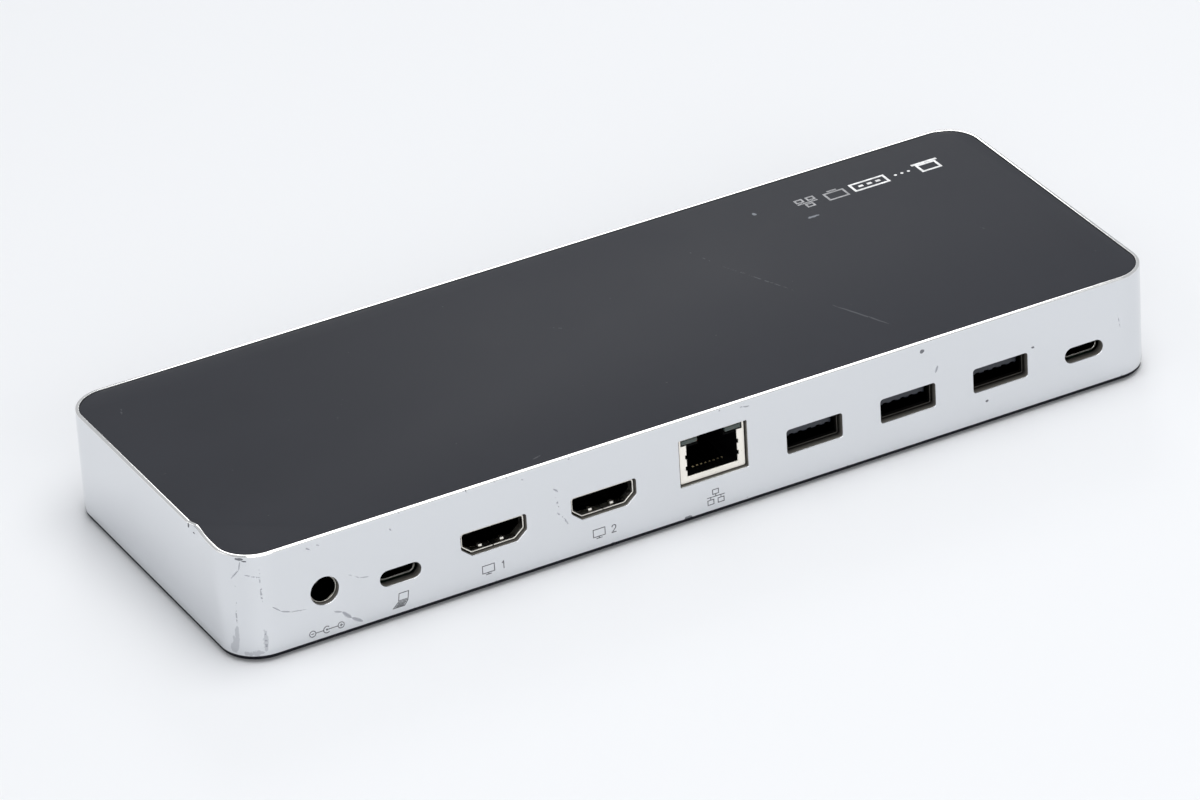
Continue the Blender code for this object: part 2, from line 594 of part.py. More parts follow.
def network_socket(parent):
    """A shielded eight-way socket with a light pipe in each upper corner."""
    width, low, high, depth = 16.0 * MM, 9.75 * MM, 20.8 * MM, 17.5 * MM
    sheet = 0.3 * MM
    mouth_half, mouth_low, mouth_high = 6.15 * MM, 11.25 * MM, 19.0 * MM
    window_high = 20.4 * MM
    window_half = width / 2 - sheet - FINE_GAP
    latch_half, latch_high = 3.1 * MM, 20.45 * MM
    location = (NETWORK_X, REAR_FACE + FLUSH_SETBACK, 0)

    def box(bm, half, bottom, top, start, end):
        block(bm, (-half, start, bottom), (half, end, top))

    def stepped(extra):
        """The mouth: a wide lower part, windows in both upper corners, a latch slot above."""
        right = [(mouth_half + extra, mouth_low - extra), (mouth_half + extra, mouth_high),
                 (window_half + extra, mouth_high), (window_half + extra, window_high + extra),
                 (latch_half + extra, window_high + extra), (latch_half + extra, latch_high + extra)]
        return right + [(-x, z) for x, z in reversed(right)]

    bm = bmesh.new()
    box(bm, width / 2, low, high, 0, depth)
    shield = finished("network_shield", bm, STEEL, location, parent, smooth=False)
    hollow = bmesh.new()
    box(hollow, width / 2 - sheet, low + sheet, high - sheet, sheet, depth + CUT_OVERRUN)
    shape(shield, "shield_hollow", hollow, "DIFFERENCE")
    mouth = bmesh.new()
    skin(mouth, [(stepped(0), -CUT_OVERRUN), (stepped(0), sheet + CUT_OVERRUN)], lying)
    shape(shield, "shield_mouth", mouth, "DIFFERENCE")

    inner_half = width / 2 - sheet - FINE_GAP
    bm = bmesh.new()
    box(bm, inner_half, low + sheet + FINE_GAP, high - sheet - FINE_GAP, sheet + FINE_GAP, depth - 0.5 * MM)
    housing = finished("network_insert", bm, BLACK_PLASTIC, location, parent, smooth=False)
    cavity = bmesh.new()
    box(cavity, mouth_half, mouth_low, mouth_high - 0.7 * MM, -CUT_OVERRUN, 15.0 * MM)
    shape(housing, "insert_cavity", cavity, "DIFFERENCE")
    latch = bmesh.new()
    box(latch, latch_half, mouth_high - 2.0 * MM, latch_high, -CUT_OVERRUN, 14.5 * MM)
    shape(housing, "insert_latch_slot", latch, "DIFFERENCE")
    pipe_width = 3.9 * MM
    pipe_length = 12.5 * MM
    channels = bmesh.new()
    for side in (-1, 1):
        edges = sorted((side * (inner_half + CUT_OVERRUN), side * (inner_half - pipe_width - 2 * FINE_GAP)))
        block(channels, (edges[0], -CUT_OVERRUN, mouth_high - FINE_GAP),
              (edges[1], pipe_length + 1.0 * MM, window_high + FINE_GAP))
    shape(housing, "insert_light_channels", channels, "DIFFERENCE")
    for label, side in (("left", -1), ("right", 1)):
        edges = sorted((side * (inner_half - FINE_GAP), side * (inner_half - FINE_GAP - pipe_width)))
        bm = bmesh.new()
        block(bm, (edges[0], 0.1 * MM, mouth_high + FINE_GAP), (edges[1], pipe_length, window_high - FINE_GAP))
        finished(f"network_light_pipe_{label}", bm, CLEAR_PLASTIC, location, parent, smooth=False)

    # Eight sprung contacts, one metal comb: a bar at the back of the cavity with fingers
    # that rise from the floor towards it.
    pitch, finger, tip, bar_start, bar_end = 1.02 * MM, 0.45 * MM, 2.2 * MM, 13.0 * MM, 14.0 * MM
    thick = 0.35 * MM
    floor = mouth_low + GAP
    rise = 2.2 * MM
    bm = bmesh.new()
    block(bm, (-3.8 * MM, bar_start, floor), (3.8 * MM, bar_end, floor + rise))
    comb = finished("network_contacts", bm, GOLD, location, parent, smooth=False)
    fingers = bmesh.new()
    for number in range(8):
        x = (number - 3.5) * pitch
        side_view = [(tip, floor), (bar_start + 0.5 * MM, floor + rise - 0.2 * MM - thick),
                     (bar_start + 0.5 * MM, floor + rise - 0.2 * MM), (tip, floor + thick)]
        near = [fingers.verts.new((x - finger / 2, y, z)) for y, z in side_view]
        far = [fingers.verts.new((x + finger / 2, y, z)) for y, z in side_view]
        fingers.faces.new(near)
        fingers.faces.new(list(reversed(far)))
        for i in range(4):
            after = (i + 1) % 4
            fingers.faces.new((near[after], near[i], far[i], far[after]))
    shape(comb, "contact_fingers", fingers, "UNION")


def headset_socket(parent):
    """A round audio socket: a moulded block with a bored collar behind the front wall."""
    location = (HEADSET_X, FRONT_FACE - SOCKET_SETBACK, HEADSET_Z)
    half, depth, bore = 3.4 * MM, 12.0 * MM, 1.8 * MM
    outline = [(-half, PART_LOW - HEADSET_Z), (half, PART_LOW - HEADSET_Z), (half, half), (-half, half)]
    collar = 2.8 * MM
    bm = bmesh.new()
    skin(bm, [(outline, -depth), (outline, 0)], lying)
    body = finished("headset_socket", bm, BLACK_PLASTIC, location, parent)
    ring = bmesh.new()
    skin(ring, [(circle(collar), -1.0 * MM), (circle(collar), 1.4 * MM)], lying)
    shape(body, "headset_collar", ring, "UNION")
    hole = bmesh.new()
    skin(hole, [(circle(bore, 16), -depth + 1.5 * MM), (circle(bore, 16), 1.4 * MM + CUT_OVERRUN)], lying)
    shape(body, "headset_bore", hole, "DIFFERENCE")


def power_button(dock):
    """The power button: a round cap held behind the wall by its flange, on a small push switch."""
    axis = bpy.data.objects.new("button_axis", None)
    bpy.context.collection.objects.link(axis)
    axis.location = (BUTTON_X, FRONT_FACE, BUTTON_Z)
    axis.parent = dock
    face = -0.1 * MM
    flange_front = -WALL - GAP
    flange_back = flange_front - 0.9 * MM
    stem_back = flange_back - 1.6 * MM
    edge = 0.3 * MM
    bm = bmesh.new()
    skin(bm, [(circle(1.3 * MM), stem_back), (circle(1.3 * MM), flange_back),
              (circle(BUTTON_RADIUS + 0.9 * MM), flange_back), (circle(BUTTON_RADIUS + 0.9 * MM), flange_front),
              (circle(BUTTON_RADIUS), flange_front), (circle(BUTTON_RADIUS), face - edge),
              (circle(BUTTON_RADIUS - edge), face)], lying)
    finished("power_button", bm, SILVER, parent=axis)

    plunger_front = stem_back - 0.05 * MM
    plunger_back = plunger_front - 1.9 * MM
    bm = bmesh.new()
    skin(bm, [(circle(0.9 * MM, 16), plunger_back), (circle(0.9 * MM, 16), plunger_front)], lying)
    finished("switch_plunger", bm, BLACK_PLASTIC, parent=axis)

    switch_front = plunger_front - BUTTON_TRAVEL - GAP
    switch_back = switch_front - 3.2 * MM
    location = (BUTTON_X, FRONT_FACE, BUTTON_Z)
    low = PART_LOW - BUTTON_Z
    half = 3.0 * MM
    outline = [(-half, low), (half, low), (half, half), (-half, half)]
    bm = bmesh.new()
    skin(bm, [(outline, switch_back), (outline, switch_front)], lying)
    switch = finished("power_switch", bm, STEEL, location, dock, smooth=False)
    hole = bmesh.new()
    skin(hole, [(circle(1.2 * MM, 16), plunger_back - BUTTON_TRAVEL - GAP),
                (circle(1.2 * MM, 16), switch_front + CUT_OVERRUN)], lying)
    shape(switch, "switch_bore", hole, "DIFFERENCE")


def status_light(parent):
    """A clear rod that carries the status light from the board to the front wall."""
    location = (LIGHT_X, FRONT_FACE, BUTTON_Z)
    back = -9.0 * MM
    foot = 1.6 * MM
    low = PART_LOW - BUTTON_Z
    bm = bmesh.new()
    skin(bm, [(circle(LIGHT_RADIUS, 12), back - 0.5 * MM), (circle(LIGHT_RADIUS, 12), -0.1 * MM)], lying)
    rod = finished("status_light_pipe", bm, CLEAR_PLASTIC, location, parent)
    leg = bmesh.new()
    block(leg, (-foot / 2 - 0.2 * MM, back - 1.6 * MM, low), (foot / 2 + 0.2 * MM, back, 1.1 * MM))
    shape(rod, "status_light_leg", leg, "UNION")


def build():
    for old in list(bpy.data.objects):
        bpy.data.objects.remove(old, do_unlink=True)
    dock = bpy.data.objects.new("dock", None)
    bpy.context.collection.objects.link(dock)

    silver_frame(dock)
    top_panel(dock)
    bottom_cover(dock)
    feet(dock)
    case_screws(dock)
    main_board(dock)
    board_screws(dock)
    board_parts(dock)
    power_socket(dock)
    type_c_sockets(dock)
    video_sockets(dock)
    network_socket(dock)
    for number in range(3):
        x = TYPE_A_FIRST_X + number * TYPE_A_PITCH
        type_a_socket(str(number + 1), (x, REAR_FACE + TYPE_A_SETBACK, TYPE_A_Z), dock)
    type_a_socket("front", (CHARGE_X, FRONT_FACE - TYPE_A_SETBACK, TYPE_A_Z), dock, math.pi)
    headset_socket(dock)
    status_light(dock)
    power_button(dock)


build()
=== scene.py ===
"""A laptop docking station on a pale table, dressed for its portrait.

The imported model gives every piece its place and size. Each section below makes one piece, or one
group of like pieces, in the order in which the real thing is put together.
"""
import math

import bmesh
import bpy
from mathutils import Matrix, Vector


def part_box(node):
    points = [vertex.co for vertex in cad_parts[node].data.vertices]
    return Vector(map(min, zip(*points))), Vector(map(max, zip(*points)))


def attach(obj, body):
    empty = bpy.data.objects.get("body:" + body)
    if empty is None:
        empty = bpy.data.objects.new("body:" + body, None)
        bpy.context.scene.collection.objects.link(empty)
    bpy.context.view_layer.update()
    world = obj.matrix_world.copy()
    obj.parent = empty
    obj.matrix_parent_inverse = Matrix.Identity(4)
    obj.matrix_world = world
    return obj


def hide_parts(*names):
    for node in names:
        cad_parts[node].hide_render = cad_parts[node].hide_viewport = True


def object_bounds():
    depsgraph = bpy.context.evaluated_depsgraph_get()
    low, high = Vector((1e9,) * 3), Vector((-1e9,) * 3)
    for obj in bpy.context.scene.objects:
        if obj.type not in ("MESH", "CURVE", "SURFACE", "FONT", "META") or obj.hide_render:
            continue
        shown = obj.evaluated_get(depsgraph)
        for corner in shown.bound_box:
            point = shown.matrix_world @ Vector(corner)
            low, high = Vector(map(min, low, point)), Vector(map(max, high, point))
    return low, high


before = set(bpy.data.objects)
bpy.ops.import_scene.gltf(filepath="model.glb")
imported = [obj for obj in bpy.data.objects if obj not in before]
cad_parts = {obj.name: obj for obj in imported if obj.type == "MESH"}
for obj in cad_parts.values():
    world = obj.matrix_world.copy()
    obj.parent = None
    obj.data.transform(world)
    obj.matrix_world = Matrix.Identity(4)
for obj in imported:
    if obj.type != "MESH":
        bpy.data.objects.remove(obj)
cad_low, cad_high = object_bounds()
MM = 0.001

# ------------------------------------------------------------------ table, light and camera
# A wide pale table in an evenly lit room: one lamp overhead, a wide one filling from the front,
# and two small ones, behind to the left and behind to the right. The camera stands far off on a
# long lens, to the left of the row of sockets.


def node(tree, kind, inputs=None, **settings):
    """Add a shader node; an input is given a value or the socket that feeds it."""
    made = tree.nodes.new(kind)
    for name, value in settings.items():
        setattr(made, name, value)
    for name, value in (inputs or {}).items():
        if isinstance(value, bpy.types.NodeSocket):
            tree.links.new(value, made.inputs[name])
        else:
            made.inputs[name].default_value = value
    return made


def surface(name, colour, roughness, metallic=0.0, **fixed):
    """A new material: its node tree and its Principled shader, with the plain values set."""
    made = bpy.data.materials.new(name)
    made.use_nodes = True
    shader = made.node_tree.nodes["Principled BSDF"]
    shader.inputs["Base Color"].default_value = (*colour, 1.0)
    shader.inputs["Roughness"].default_value = roughness
    shader.inputs["Metallic"].default_value = metallic
    for label, value in fixed.items():
        shader.inputs[label.replace("_", " ")].default_value = value
    return made, made.node_tree, shader


def lamp(name, size, place, aim, power, colour=(1.0, 1.0, 1.0)):
    data = bpy.data.lights.new(name, "AREA")
    data.shape = "RECTANGLE"
    data.size, data.size_y = size
    data.energy = power
    data.color = colour
    made = bpy.data.objects.new(name, data)
    made.location = place
    made.rotation_euler = (Vector(aim) - Vector(place)).to_track_quat("-Z", "Y").to_euler()
    bpy.context.scene.collection.objects.link(made)


def stand_camera(aim, distance, azimuth, elevation, roll, lens):
    """Put the camera at a distance from a point, turned about its own line of sight."""
    turn, rise, tip = (math.radians(angle) for angle in (azimuth, elevation, roll))
    back = Vector((math.sin(turn) * math.cos(rise), -math.cos(turn) * math.cos(rise), math.sin(rise)))
    level = Vector((0, 0, 1)).cross(back).normalized()
    upright = back.cross(level)
    side = level * math.cos(tip) + upright * math.sin(tip)
    up = upright * math.cos(tip) - level * math.sin(tip)
    data = bpy.data.cameras.new("camera")
    data.lens = lens
    data.sensor_width = 36.0
    data.clip_start, data.clip_end = 0.05, 20.0
    camera = bpy.data.objects.new("camera", data)
    turned = Matrix((side, up, back)).transposed().to_4x4()
    camera.matrix_world = Matrix.Translation(Vector(aim) + back * distance) @ turned
    bpy.context.scene.collection.objects.link(camera)
    bpy.context.scene.camera = camera


stand_camera(aim=(-0.00596, -0.00379, 0.013), distance=1.625, azimuth=-27.066, elevation=29.852,
             roll=-3.447, lens=224.57)

TABLE_SIZE = 8.0
world = bpy.data.worlds.new("soft_room")
world.use_nodes = True
world.node_tree.nodes["Background"].inputs["Color"].default_value = (0.93, 0.96, 1.0, 1.0)
world.node_tree.nodes["Background"].inputs["Strength"].default_value = 0.57
bpy.context.scene.world = world
bpy.context.scene.view_settings.view_transform = "Standard"
lamp("overhead_lamp", (1.0, 0.8), (0.15, -0.1, 1.15), (0, 0, 0), 6.1, (1.0, 0.99, 0.97))
lamp("side_lamp", (0.9, 0.9), (-1.3, 0.6, 1.0), (0, 0, 0), 1.7)
lamp("front_fill", (2.4, 1.2), (-0.4, -2.2, 0.9), (0, 0, 0), 18.5)
lamp("rim_light", (0.5, 0.5), (0.79, 1.54, 1.0), (0, 0, 0), 1.9)

table_mesh = bmesh.new()
bmesh.ops.create_grid(table_mesh, x_segments=1, y_segments=1, size=TABLE_SIZE / 2)
table_data = bpy.data.meshes.new("table")
table_mesh.to_mesh(table_data)
table = bpy.data.objects.new("table", table_data)
bpy.context.scene.collection.objects.link(table)
table_finish, _, table_shader = surface("table_laminate", (0.88, 0.885, 0.90), 0.55)
table_shader.inputs["Specular IOR Level"].default_value = 0.3
table_data.materials.append(table_finish)


# ------------------------------------------------------------------ silver frame
# Four walls moulded in one ring from hard plastic and plated in satin silver. The top edge is a thin
# polished rim, coloured near white, partly its own polish and partly a painted highlight; the openings for
# the sockets are cut with a small radius round each mouth.


def rounded(width, height, radius, steps=6, middle=(0.0, 0.0), side_steps=(1, 1)):
    """Outline of a rectangle with round corners, with its straight sides divided evenly."""
    points = []
    corners = ((1, 1), (-1, 1), (-1, -1), (1, -1))
    for number, (side_x, side_y) in enumerate(corners):
        centre_x = side_x * (width / 2 - radius)
        centre_y = side_y * (height / 2 - radius)
        for step in range(steps + 1):
            angle = math.radians(90 * (number + step / steps))
            points.append((centre_x + radius * math.cos(angle), centre_y + radius * math.sin(angle)))
        next_x, next_y = corners[(number + 1) % 4]
        turn = math.radians(90 * (number + 1))
        start = points[-1]
        end = (next_x * (width / 2 - radius) + radius * math.cos(turn),
               next_y * (height / 2 - radius) + radius * math.sin(turn))
        count = side_steps[number % 2]
        for step in range(1, count):
            share = step / count
            points.append((start[0] + (end[0] - start[0]) * share,
                           start[1] + (end[1] - start[1]) * share))
    return [(x + middle[0], y + middle[1]) for x, y in points]


def circle(radius, steps=32, middle=(0.0, 0.0)):
    return [(middle[0] + radius * math.cos(2 * math.pi * i / steps),
             middle[1] + radius * math.sin(2 * math.pi * i / steps)) for i in range(steps)]


def level(outline, height):
    """Lay an outline flat at a height."""
    return [(x, y, height) for x, y in outline]


def upright(outline, depth):
    """Stand an outline up, facing along Y, at a depth."""
    return [(x, depth, z) for x, z in outline]


def skin(bm, sections, ring=False):
    """Join sections of equal count into one closed skin, capped unless it closes on itself."""
    loops = [[bm.verts.new(point) for point in section] for section in sections]
    pairs = list(zip(loops, loops[1:]))
    if ring:
        pairs.append((loops[-1], loops[0]))
    faces = []
    for lower, upper in pairs:
        count = len(lower)
        for i in range(count):
            after = (i + 1) % count
            faces.append(bm.faces.new((lower[i], lower[after], upper[after], upper[i])))
    if not ring:
        faces.append(bm.faces.new(list(reversed(loops[0]))))
        faces.append(bm.faces.new(loops[-1]))
    return faces


def mesh_object(name, bm, sharp=30.0):
    """Make an object from a bmesh, smooth but for edges sharper than an angle."""
    bmesh.ops.recalc_face_normals(bm, faces=bm.faces)
    data = bpy.data.meshes.new(name)
    bm.to_mesh(data)
    bm.free()
    data.shade_smooth()
    data.set_sharp_from_angle(angle=math.radians(sharp))
    made = bpy.data.objects.new(name, data)
    bpy.context.scene.collection.objects.link(made)
    return made


def carve(made, tool_bm, operation="DIFFERENCE", sharp=30.0):
    """Cut a tool shape out of an object, or join it on, and keep the result as its mesh."""
    tool = mesh_object(made.name + "_tool", tool_bm)
    change = made.modifiers.new("carve", "BOOLEAN")
    change.operation = operation
    change.object = tool
    change.solver = "EXACT"
    evaluated = made.evaluated_get(bpy.context.evaluated_depsgraph_get())
    data = bpy.data.meshes.new_from_object(evaluated)
    made.modifiers.clear()
    made.data = data
    bpy.data.objects.remove(tool)
    data.shade_smooth()
    data.set_sharp_from_angle(angle=math.radians(sharp))


def dress(made, finish, stands_for=(), body="housing"):
    """Give a piece its material, its body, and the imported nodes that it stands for."""
    made.data.materials.clear()
    made.data.materials.append(finish)
    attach(made, body)
    if stands_for:
        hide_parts(*stands_for)


CASE_LENGTH = cad_high.x - cad_low.x
CASE_DEPTH = cad_high.y - cad_low.y
CASE_TOP = cad_high.z
REAR_FACE = cad_low.y
FRONT_FACE = cad_high.y
CORNER_RADIUS = 8.8 * MM
WALL = 2.0 * MM
RIM_WIDTH = 0.85 * MM
RIM_ROUND = 0.3 * MM
PANEL_DROP = 0.15 * MM
LEDGE_DEPTH = 5.0 * MM
FRAME_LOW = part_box("silver_frame")[0].z
MOUTH_ROUND = 0.16 * MM


def footprint(inset):
    """The case seen from above, drawn in by an inset, with points close enough to dent."""
    return rounded(CASE_LENGTH - 2 * inset, CASE_DEPTH - 2 * inset, CORNER_RADIUS - inset,
                   steps=16, side_steps=(150, 60))


def dented(point):
    """Where the left end took a knock: the rim is pushed in, sharply at one side of the dent."""
    x, y, z = point
    reach = 1.1 * MM if y > -22.0 * MM else 4.2 * MM
    along = math.exp(-((y + 22.0 * MM) / reach) ** 2)
    down = math.exp(-((CASE_TOP - z) / (1.6 * MM)) ** 2)
    near = max(0.0, min(1.0, (-x - 106.0 * MM) / (5.0 * MM)))
    push = 0.75 * MM * along * down * near
    return (x + push, y, z - 0.25 * push)


def centre_of(name):
    low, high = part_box(name)
    return (low + high) / 2


VIDEO_LABELS = ("1", "2")
TYPE_A_LABELS = ("1", "2", "3")
TYPE_C_LABELS = ("left", "right")
VIDEO_OPENING = (15.74 * MM, 5.95 * MM)
VIDEO_SLANT = (2.5 * MM, 2.15 * MM)
TYPE_A_OPENING = (13.8 * MM, 5.9 * MM)
TYPE_C_OPENING = (9.74 * MM, 3.77 * MM)
NETWORK_OPENING = (16.7 * MM, 11.45 * MM)
NETWORK_OPENING_Z = 15.22 * MM
POWER_OPENING = 3.3 * MM
HEADSET_OPENING = 3.2 * MM
BUTTON_OPENING = 3.9 * MM
LIGHT_OPENING = 1.0 * MM


def corner_arc(before, corner, after, radius, steps=5):
    """Points that round off one corner of a polygon."""
    corner = Vector(corner)
    to_before = (Vector(before) - corner).normalized()
    to_after = (Vector(after) - corner).normalized()
    half = to_before.angle(to_after) / 2
    centre = corner + (to_before + to_after).normalized() * radius / math.sin(half)
    reach = radius / math.tan(half)
    start = corner + to_before * reach - centre
    sweep = math.pi - 2 * half
    points = []
    for step in range(steps + 1):
        angle = sweep * step / steps
        points.append((centre.x + start.x * math.cos(angle) - start.y * math.sin(angle),
                       centre.y + start.x * math.sin(angle) + start.y * math.cos(angle)))
    return points


def video_outline(grow=0.0, middle=(0.0, 0.0), radius=0.7 * MM):
    """A wide box whose two lower corners are cut slantwise; grow moves every side outwards."""
    width, height = VIDEO_OPENING
    half, low, high = width / 2 + grow, -height / 2 - grow, height / 2 + grow
    foot = width / 2 - VIDEO_SLANT[0] + 0.35 * grow
    slant_top = -height / 2 + VIDEO_SLANT[1] - 0.45 * grow
    corners = [(half, slant_top), (half, high), (-half, high), (-half, slant_top), (-foot, low),
               (foot, low)]
    points = []
    for number, corner in enumerate(corners):
        points += corner_arc(corners[number - 1], corner, corners[(number + 1) % 6], radius)
    return [(x + middle[0], z + middle[1]) for x, z in points]


def opening_tool(bm, outline_at, face, inward):
    """A cutter through one wall whose outer end flares, so that the mouth's edge is round."""
    sections = [upright(outline_at(MOUTH_ROUND * 3), face - inward * 2 * MOUTH_ROUND)]
    for step in range(5):
        angle = math.radians(90 * step / 4)
        flare = MOUTH_ROUND * (1 - math.sin(angle))
        sections.append(upright(outline_at(flare), face + inward * MOUTH_ROUND * (1 - math.cos(angle))))
    sections.append(upright(outline_at(0.0), face + inward * (WALL + 1.0 * MM)))
    skin(bm, sections)


def box_mouth(size, radius, middle):
    return lambda grow: rounded(size[0] + 2 * grow, size[1] + 2 * grow, radius + grow, 6, middle)


def round_mouth(radius, middle):
    return lambda grow: circle(radius + grow, 48, middle)


frame_bm = bmesh.new()
LEDGE_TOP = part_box("top_panel")[0].z - 0.3 * MM
frame_profile = [(0.25, FRAME_LOW / MM), (0.1, FRAME_LOW / MM + 0.05), (0.03, FRAME_LOW / MM + 0.2)]
frame_profile += [(0.03, height) for height in (4.0, 8.0, 12.0, 16.0, 20.0, 22.0, 23.0, 23.8, 24.5,
                                                25.1)]
top_height = CASE_TOP / MM
for step in range(6):
    angle = math.radians(90 * step / 5)
    round_off = RIM_ROUND / MM
    frame_profile.append((0.03 + round_off * (1 - math.cos(angle)),
                          top_height - round_off * (1 - math.sin(angle))))
frame_profile += [(RIM_WIDTH / MM - 0.06, top_height), (RIM_WIDTH / MM, top_height - 0.06),
                  (RIM_WIDTH / MM, LEDGE_TOP / MM), (LEDGE_DEPTH / MM, LEDGE_TOP / MM),
                  (LEDGE_DEPTH / MM, LEDGE_TOP / MM - 1.5), (WALL / MM, LEDGE_TOP / MM - 1.5),
                  (WALL / MM, FRAME_LOW / MM)]
skin(frame_bm, [level(footprint(inset * MM), height * MM) for inset, height in frame_profile], ring=True)
silver_frame = mesh_object("plated_frame", frame_bm)

rear_tool = bmesh.new()
for label in TYPE_A_LABELS:
    middle = centre_of("type_a_shell_" + label)
    opening_tool(rear_tool, box_mouth(TYPE_A_OPENING, 0.7 * MM, (middle.x, middle.z)),
                 REAR_FACE + 0.03 * MM, 1)
for label in TYPE_C_LABELS:
    middle = centre_of("type_c_shell_" + label)
    opening_tool(rear_tool, box_mouth(TYPE_C_OPENING, TYPE_C_OPENING[1] / 2 - 0.001 * MM,
                                      (middle.x, middle.z)), REAR_FACE + 0.03 * MM, 1)
for label in VIDEO_LABELS:
    middle = centre_of("video_shell_" + label)
    opening_tool(rear_tool, lambda grow, at=(middle.x, middle.z): video_outline(grow, at),
                 REAR_FACE + 0.03 * MM, 1)
network_middle = centre_of("network_shield")
opening_tool(rear_tool, box_mouth(NETWORK_OPENING, 0.25 * MM, (network_middle.x, NETWORK_OPENING_Z)),
             REAR_FACE + 0.03 * MM, 1)
power_middle = centre_of("power_socket_sleeve")
opening_tool(rear_tool, round_mouth(POWER_OPENING, (power_middle.x, power_middle.z)),
             REAR_FACE + 0.03 * MM, 1)
carve(silver_frame, rear_tool)

front_tool = bmesh.new()
middle = centre_of("type_a_shell_front")
opening_tool(front_tool, box_mouth(TYPE_A_OPENING, 0.7 * MM, (middle.x, middle.z)),
             FRONT_FACE - 0.03 * MM, -1)
button_middle = centre_of("power_button")
opening_tool(front_tool, round_mouth(BUTTON_OPENING, (button_middle.x, button_middle.z)),
             FRONT_FACE - 0.03 * MM, -1)
light_middle = centre_of("status_light_pipe")
opening_tool(front_tool, round_mouth(LIGHT_OPENING, (light_middle.x, button_middle.z)),
             FRONT_FACE - 0.03 * MM, -1)
headset_middle = centre_of("headset_socket")
HEADSET_Z = 12.4 * MM
opening_tool(front_tool, round_mouth(HEADSET_OPENING, (headset_middle.x, HEADSET_Z)),
             FRONT_FACE - 0.03 * MM, -1)
carve(silver_frame, front_tool)
for vertex in silver_frame.data.vertices:
    vertex.co = dented(vertex.co)


def calc(tree, operation, first, second=0.0, third=0.0):
    """One math node; gives back the socket that holds its answer."""
    return node(tree, "ShaderNodeMath", {0: first, 1: second, 2: third}, operation=operation).outputs[0]


def shape_range(tree, value, low, high, to_low=0.0, to_high=1.0):
    """A smooth step between two values."""
    return node(tree, "ShaderNodeMapRange", {"Value": value, "From Min": low, "From Max": high,
                                             "To Min": to_low, "To Max": to_high},
                interpolation_type="SMOOTHSTEP").outputs["Result"]


def noise(tree, place, scale, detail=2.0, rough=0.5):
    return node(tree, "ShaderNodeTexNoise", {"Vector": place, "Scale": scale, "Detail": detail,
                                             "Roughness": rough}).outputs["Fac"]


def blend_colour(tree, share, first, second):
    mix = node(tree, "ShaderNodeMix", {"Factor": share}, data_type="RGBA")
    for number, colour in ((6, first), (7, second)):
        if isinstance(colour, bpy.types.NodeSocket):
            tree.links.new(colour, mix.inputs[number])
        else:
            mix.inputs[number].default_value = (*colour, 1.0)
    return mix.outputs[2]


def new_group(name, inputs, outputs):
    """An empty node group with named sockets, for an effect that several finishes share."""
    tree = bpy.data.node_groups.new(name, "ShaderNodeTree")
    for label, kind, value in inputs:
        tree.interface.new_socket(label, in_out="INPUT", socket_type=kind).default_value = value
    for label, kind in outputs:
        tree.interface.new_socket(label, in_out="OUTPUT", socket_type=kind)
    return tree, tree.nodes.new("NodeGroupInput"), tree.nodes.new("NodeGroupOutput")


def place_group(tree, group, inputs=None):
    made = node(tree, "ShaderNodeGroup", node_tree=group)
    for label, value in (inputs or {}).items():
        if isinstance(value, bpy.types.NodeSocket):
            tree.links.new(value, made.inputs[label])
        else:
            made.inputs[label].default_value = value
    return made


def own_place(tree):
    """The point on the piece itself, so that marks stay put when the piece moves."""
    return node(tree, "ShaderNodeTexCoord").outputs["Object"]


def most(tree, masks):
    """The strongest of several masks at each point."""
    strongest = masks[0]
    for mask in masks[1:]:
        strongest = calc(tree, "MAXIMUM", strongest, mask)
    return strongest


FLOAT, POINT = "NodeSocketFloat", "NodeSocketVector"

# A wavering place and a fine grit, made once in each finish and shared by its scratches and chips.
worn_place, entry, leave = new_group("worn_place", [("Waver", FLOAT, 0.0004)],
                                     [("Place", POINT), ("Grit", FLOAT)])
place = own_place(worn_place)
wander = node(worn_place, "ShaderNodeTexNoise", {"Vector": place, "Scale": 320.0, "Detail": 1.0})
shift = node(worn_place, "ShaderNodeVectorMath", {0: wander.outputs["Color"], 1: (0.5, 0.5, 0.5)},
             operation="SUBTRACT").outputs[0]
shift = node(worn_place, "ShaderNodeVectorMath", {0: shift, "Scale": entry.outputs["Waver"]},
             operation="SCALE").outputs[0]
worn_place.links.new(node(worn_place, "ShaderNodeVectorMath", {0: place, 1: shift},
                          operation="ADD").outputs[0],
                     leave.inputs["Place"])
worn_place.links.new(noise(worn_place, place, 1100.0, 3.0), leave.inputs["Grit"])

# A scratch: a thin line between two points that tapers and breaks up along its length.
scratch_line, entry, leave = new_group(
    "scratch_line", [("Place", POINT, (0, 0, 0)), ("Grit", FLOAT, 0.5), ("Start", POINT, (0, 0, 0)),
                     ("End", POINT, (1, 0, 0)), ("Width", FLOAT, 0.0002), ("Breaks", FLOAT, 0.5)],
    [("Mask", FLOAT)])
span = node(scratch_line, "ShaderNodeVectorMath", {0: entry.outputs["End"], 1: entry.outputs["Start"]},
            operation="SUBTRACT").outputs[0]
offset = node(scratch_line, "ShaderNodeVectorMath",
              {0: entry.outputs["Place"], 1: entry.outputs["Start"]},
              operation="SUBTRACT").outputs[0]
along = node(scratch_line, "ShaderNodeVectorMath", {0: offset, 1: span},
             operation="DOT_PRODUCT").outputs["Value"]
full = node(scratch_line, "ShaderNodeVectorMath", {0: span, 1: span},
            operation="DOT_PRODUCT").outputs["Value"]
share = node(scratch_line, "ShaderNodeClamp",
             {"Value": calc(scratch_line, "DIVIDE", along, full)}).outputs[0]
nearest = node(scratch_line, "ShaderNodeVectorMath", {0: span, "Scale": share},
               operation="SCALE").outputs[0]
gap = node(scratch_line, "ShaderNodeVectorMath", {0: offset, 1: nearest},
           operation="DISTANCE").outputs["Value"]
from_middle = calc(scratch_line, "ABSOLUTE", calc(scratch_line, "SUBTRACT", calc(
    scratch_line, "MULTIPLY", share, 2.0), 1.0))
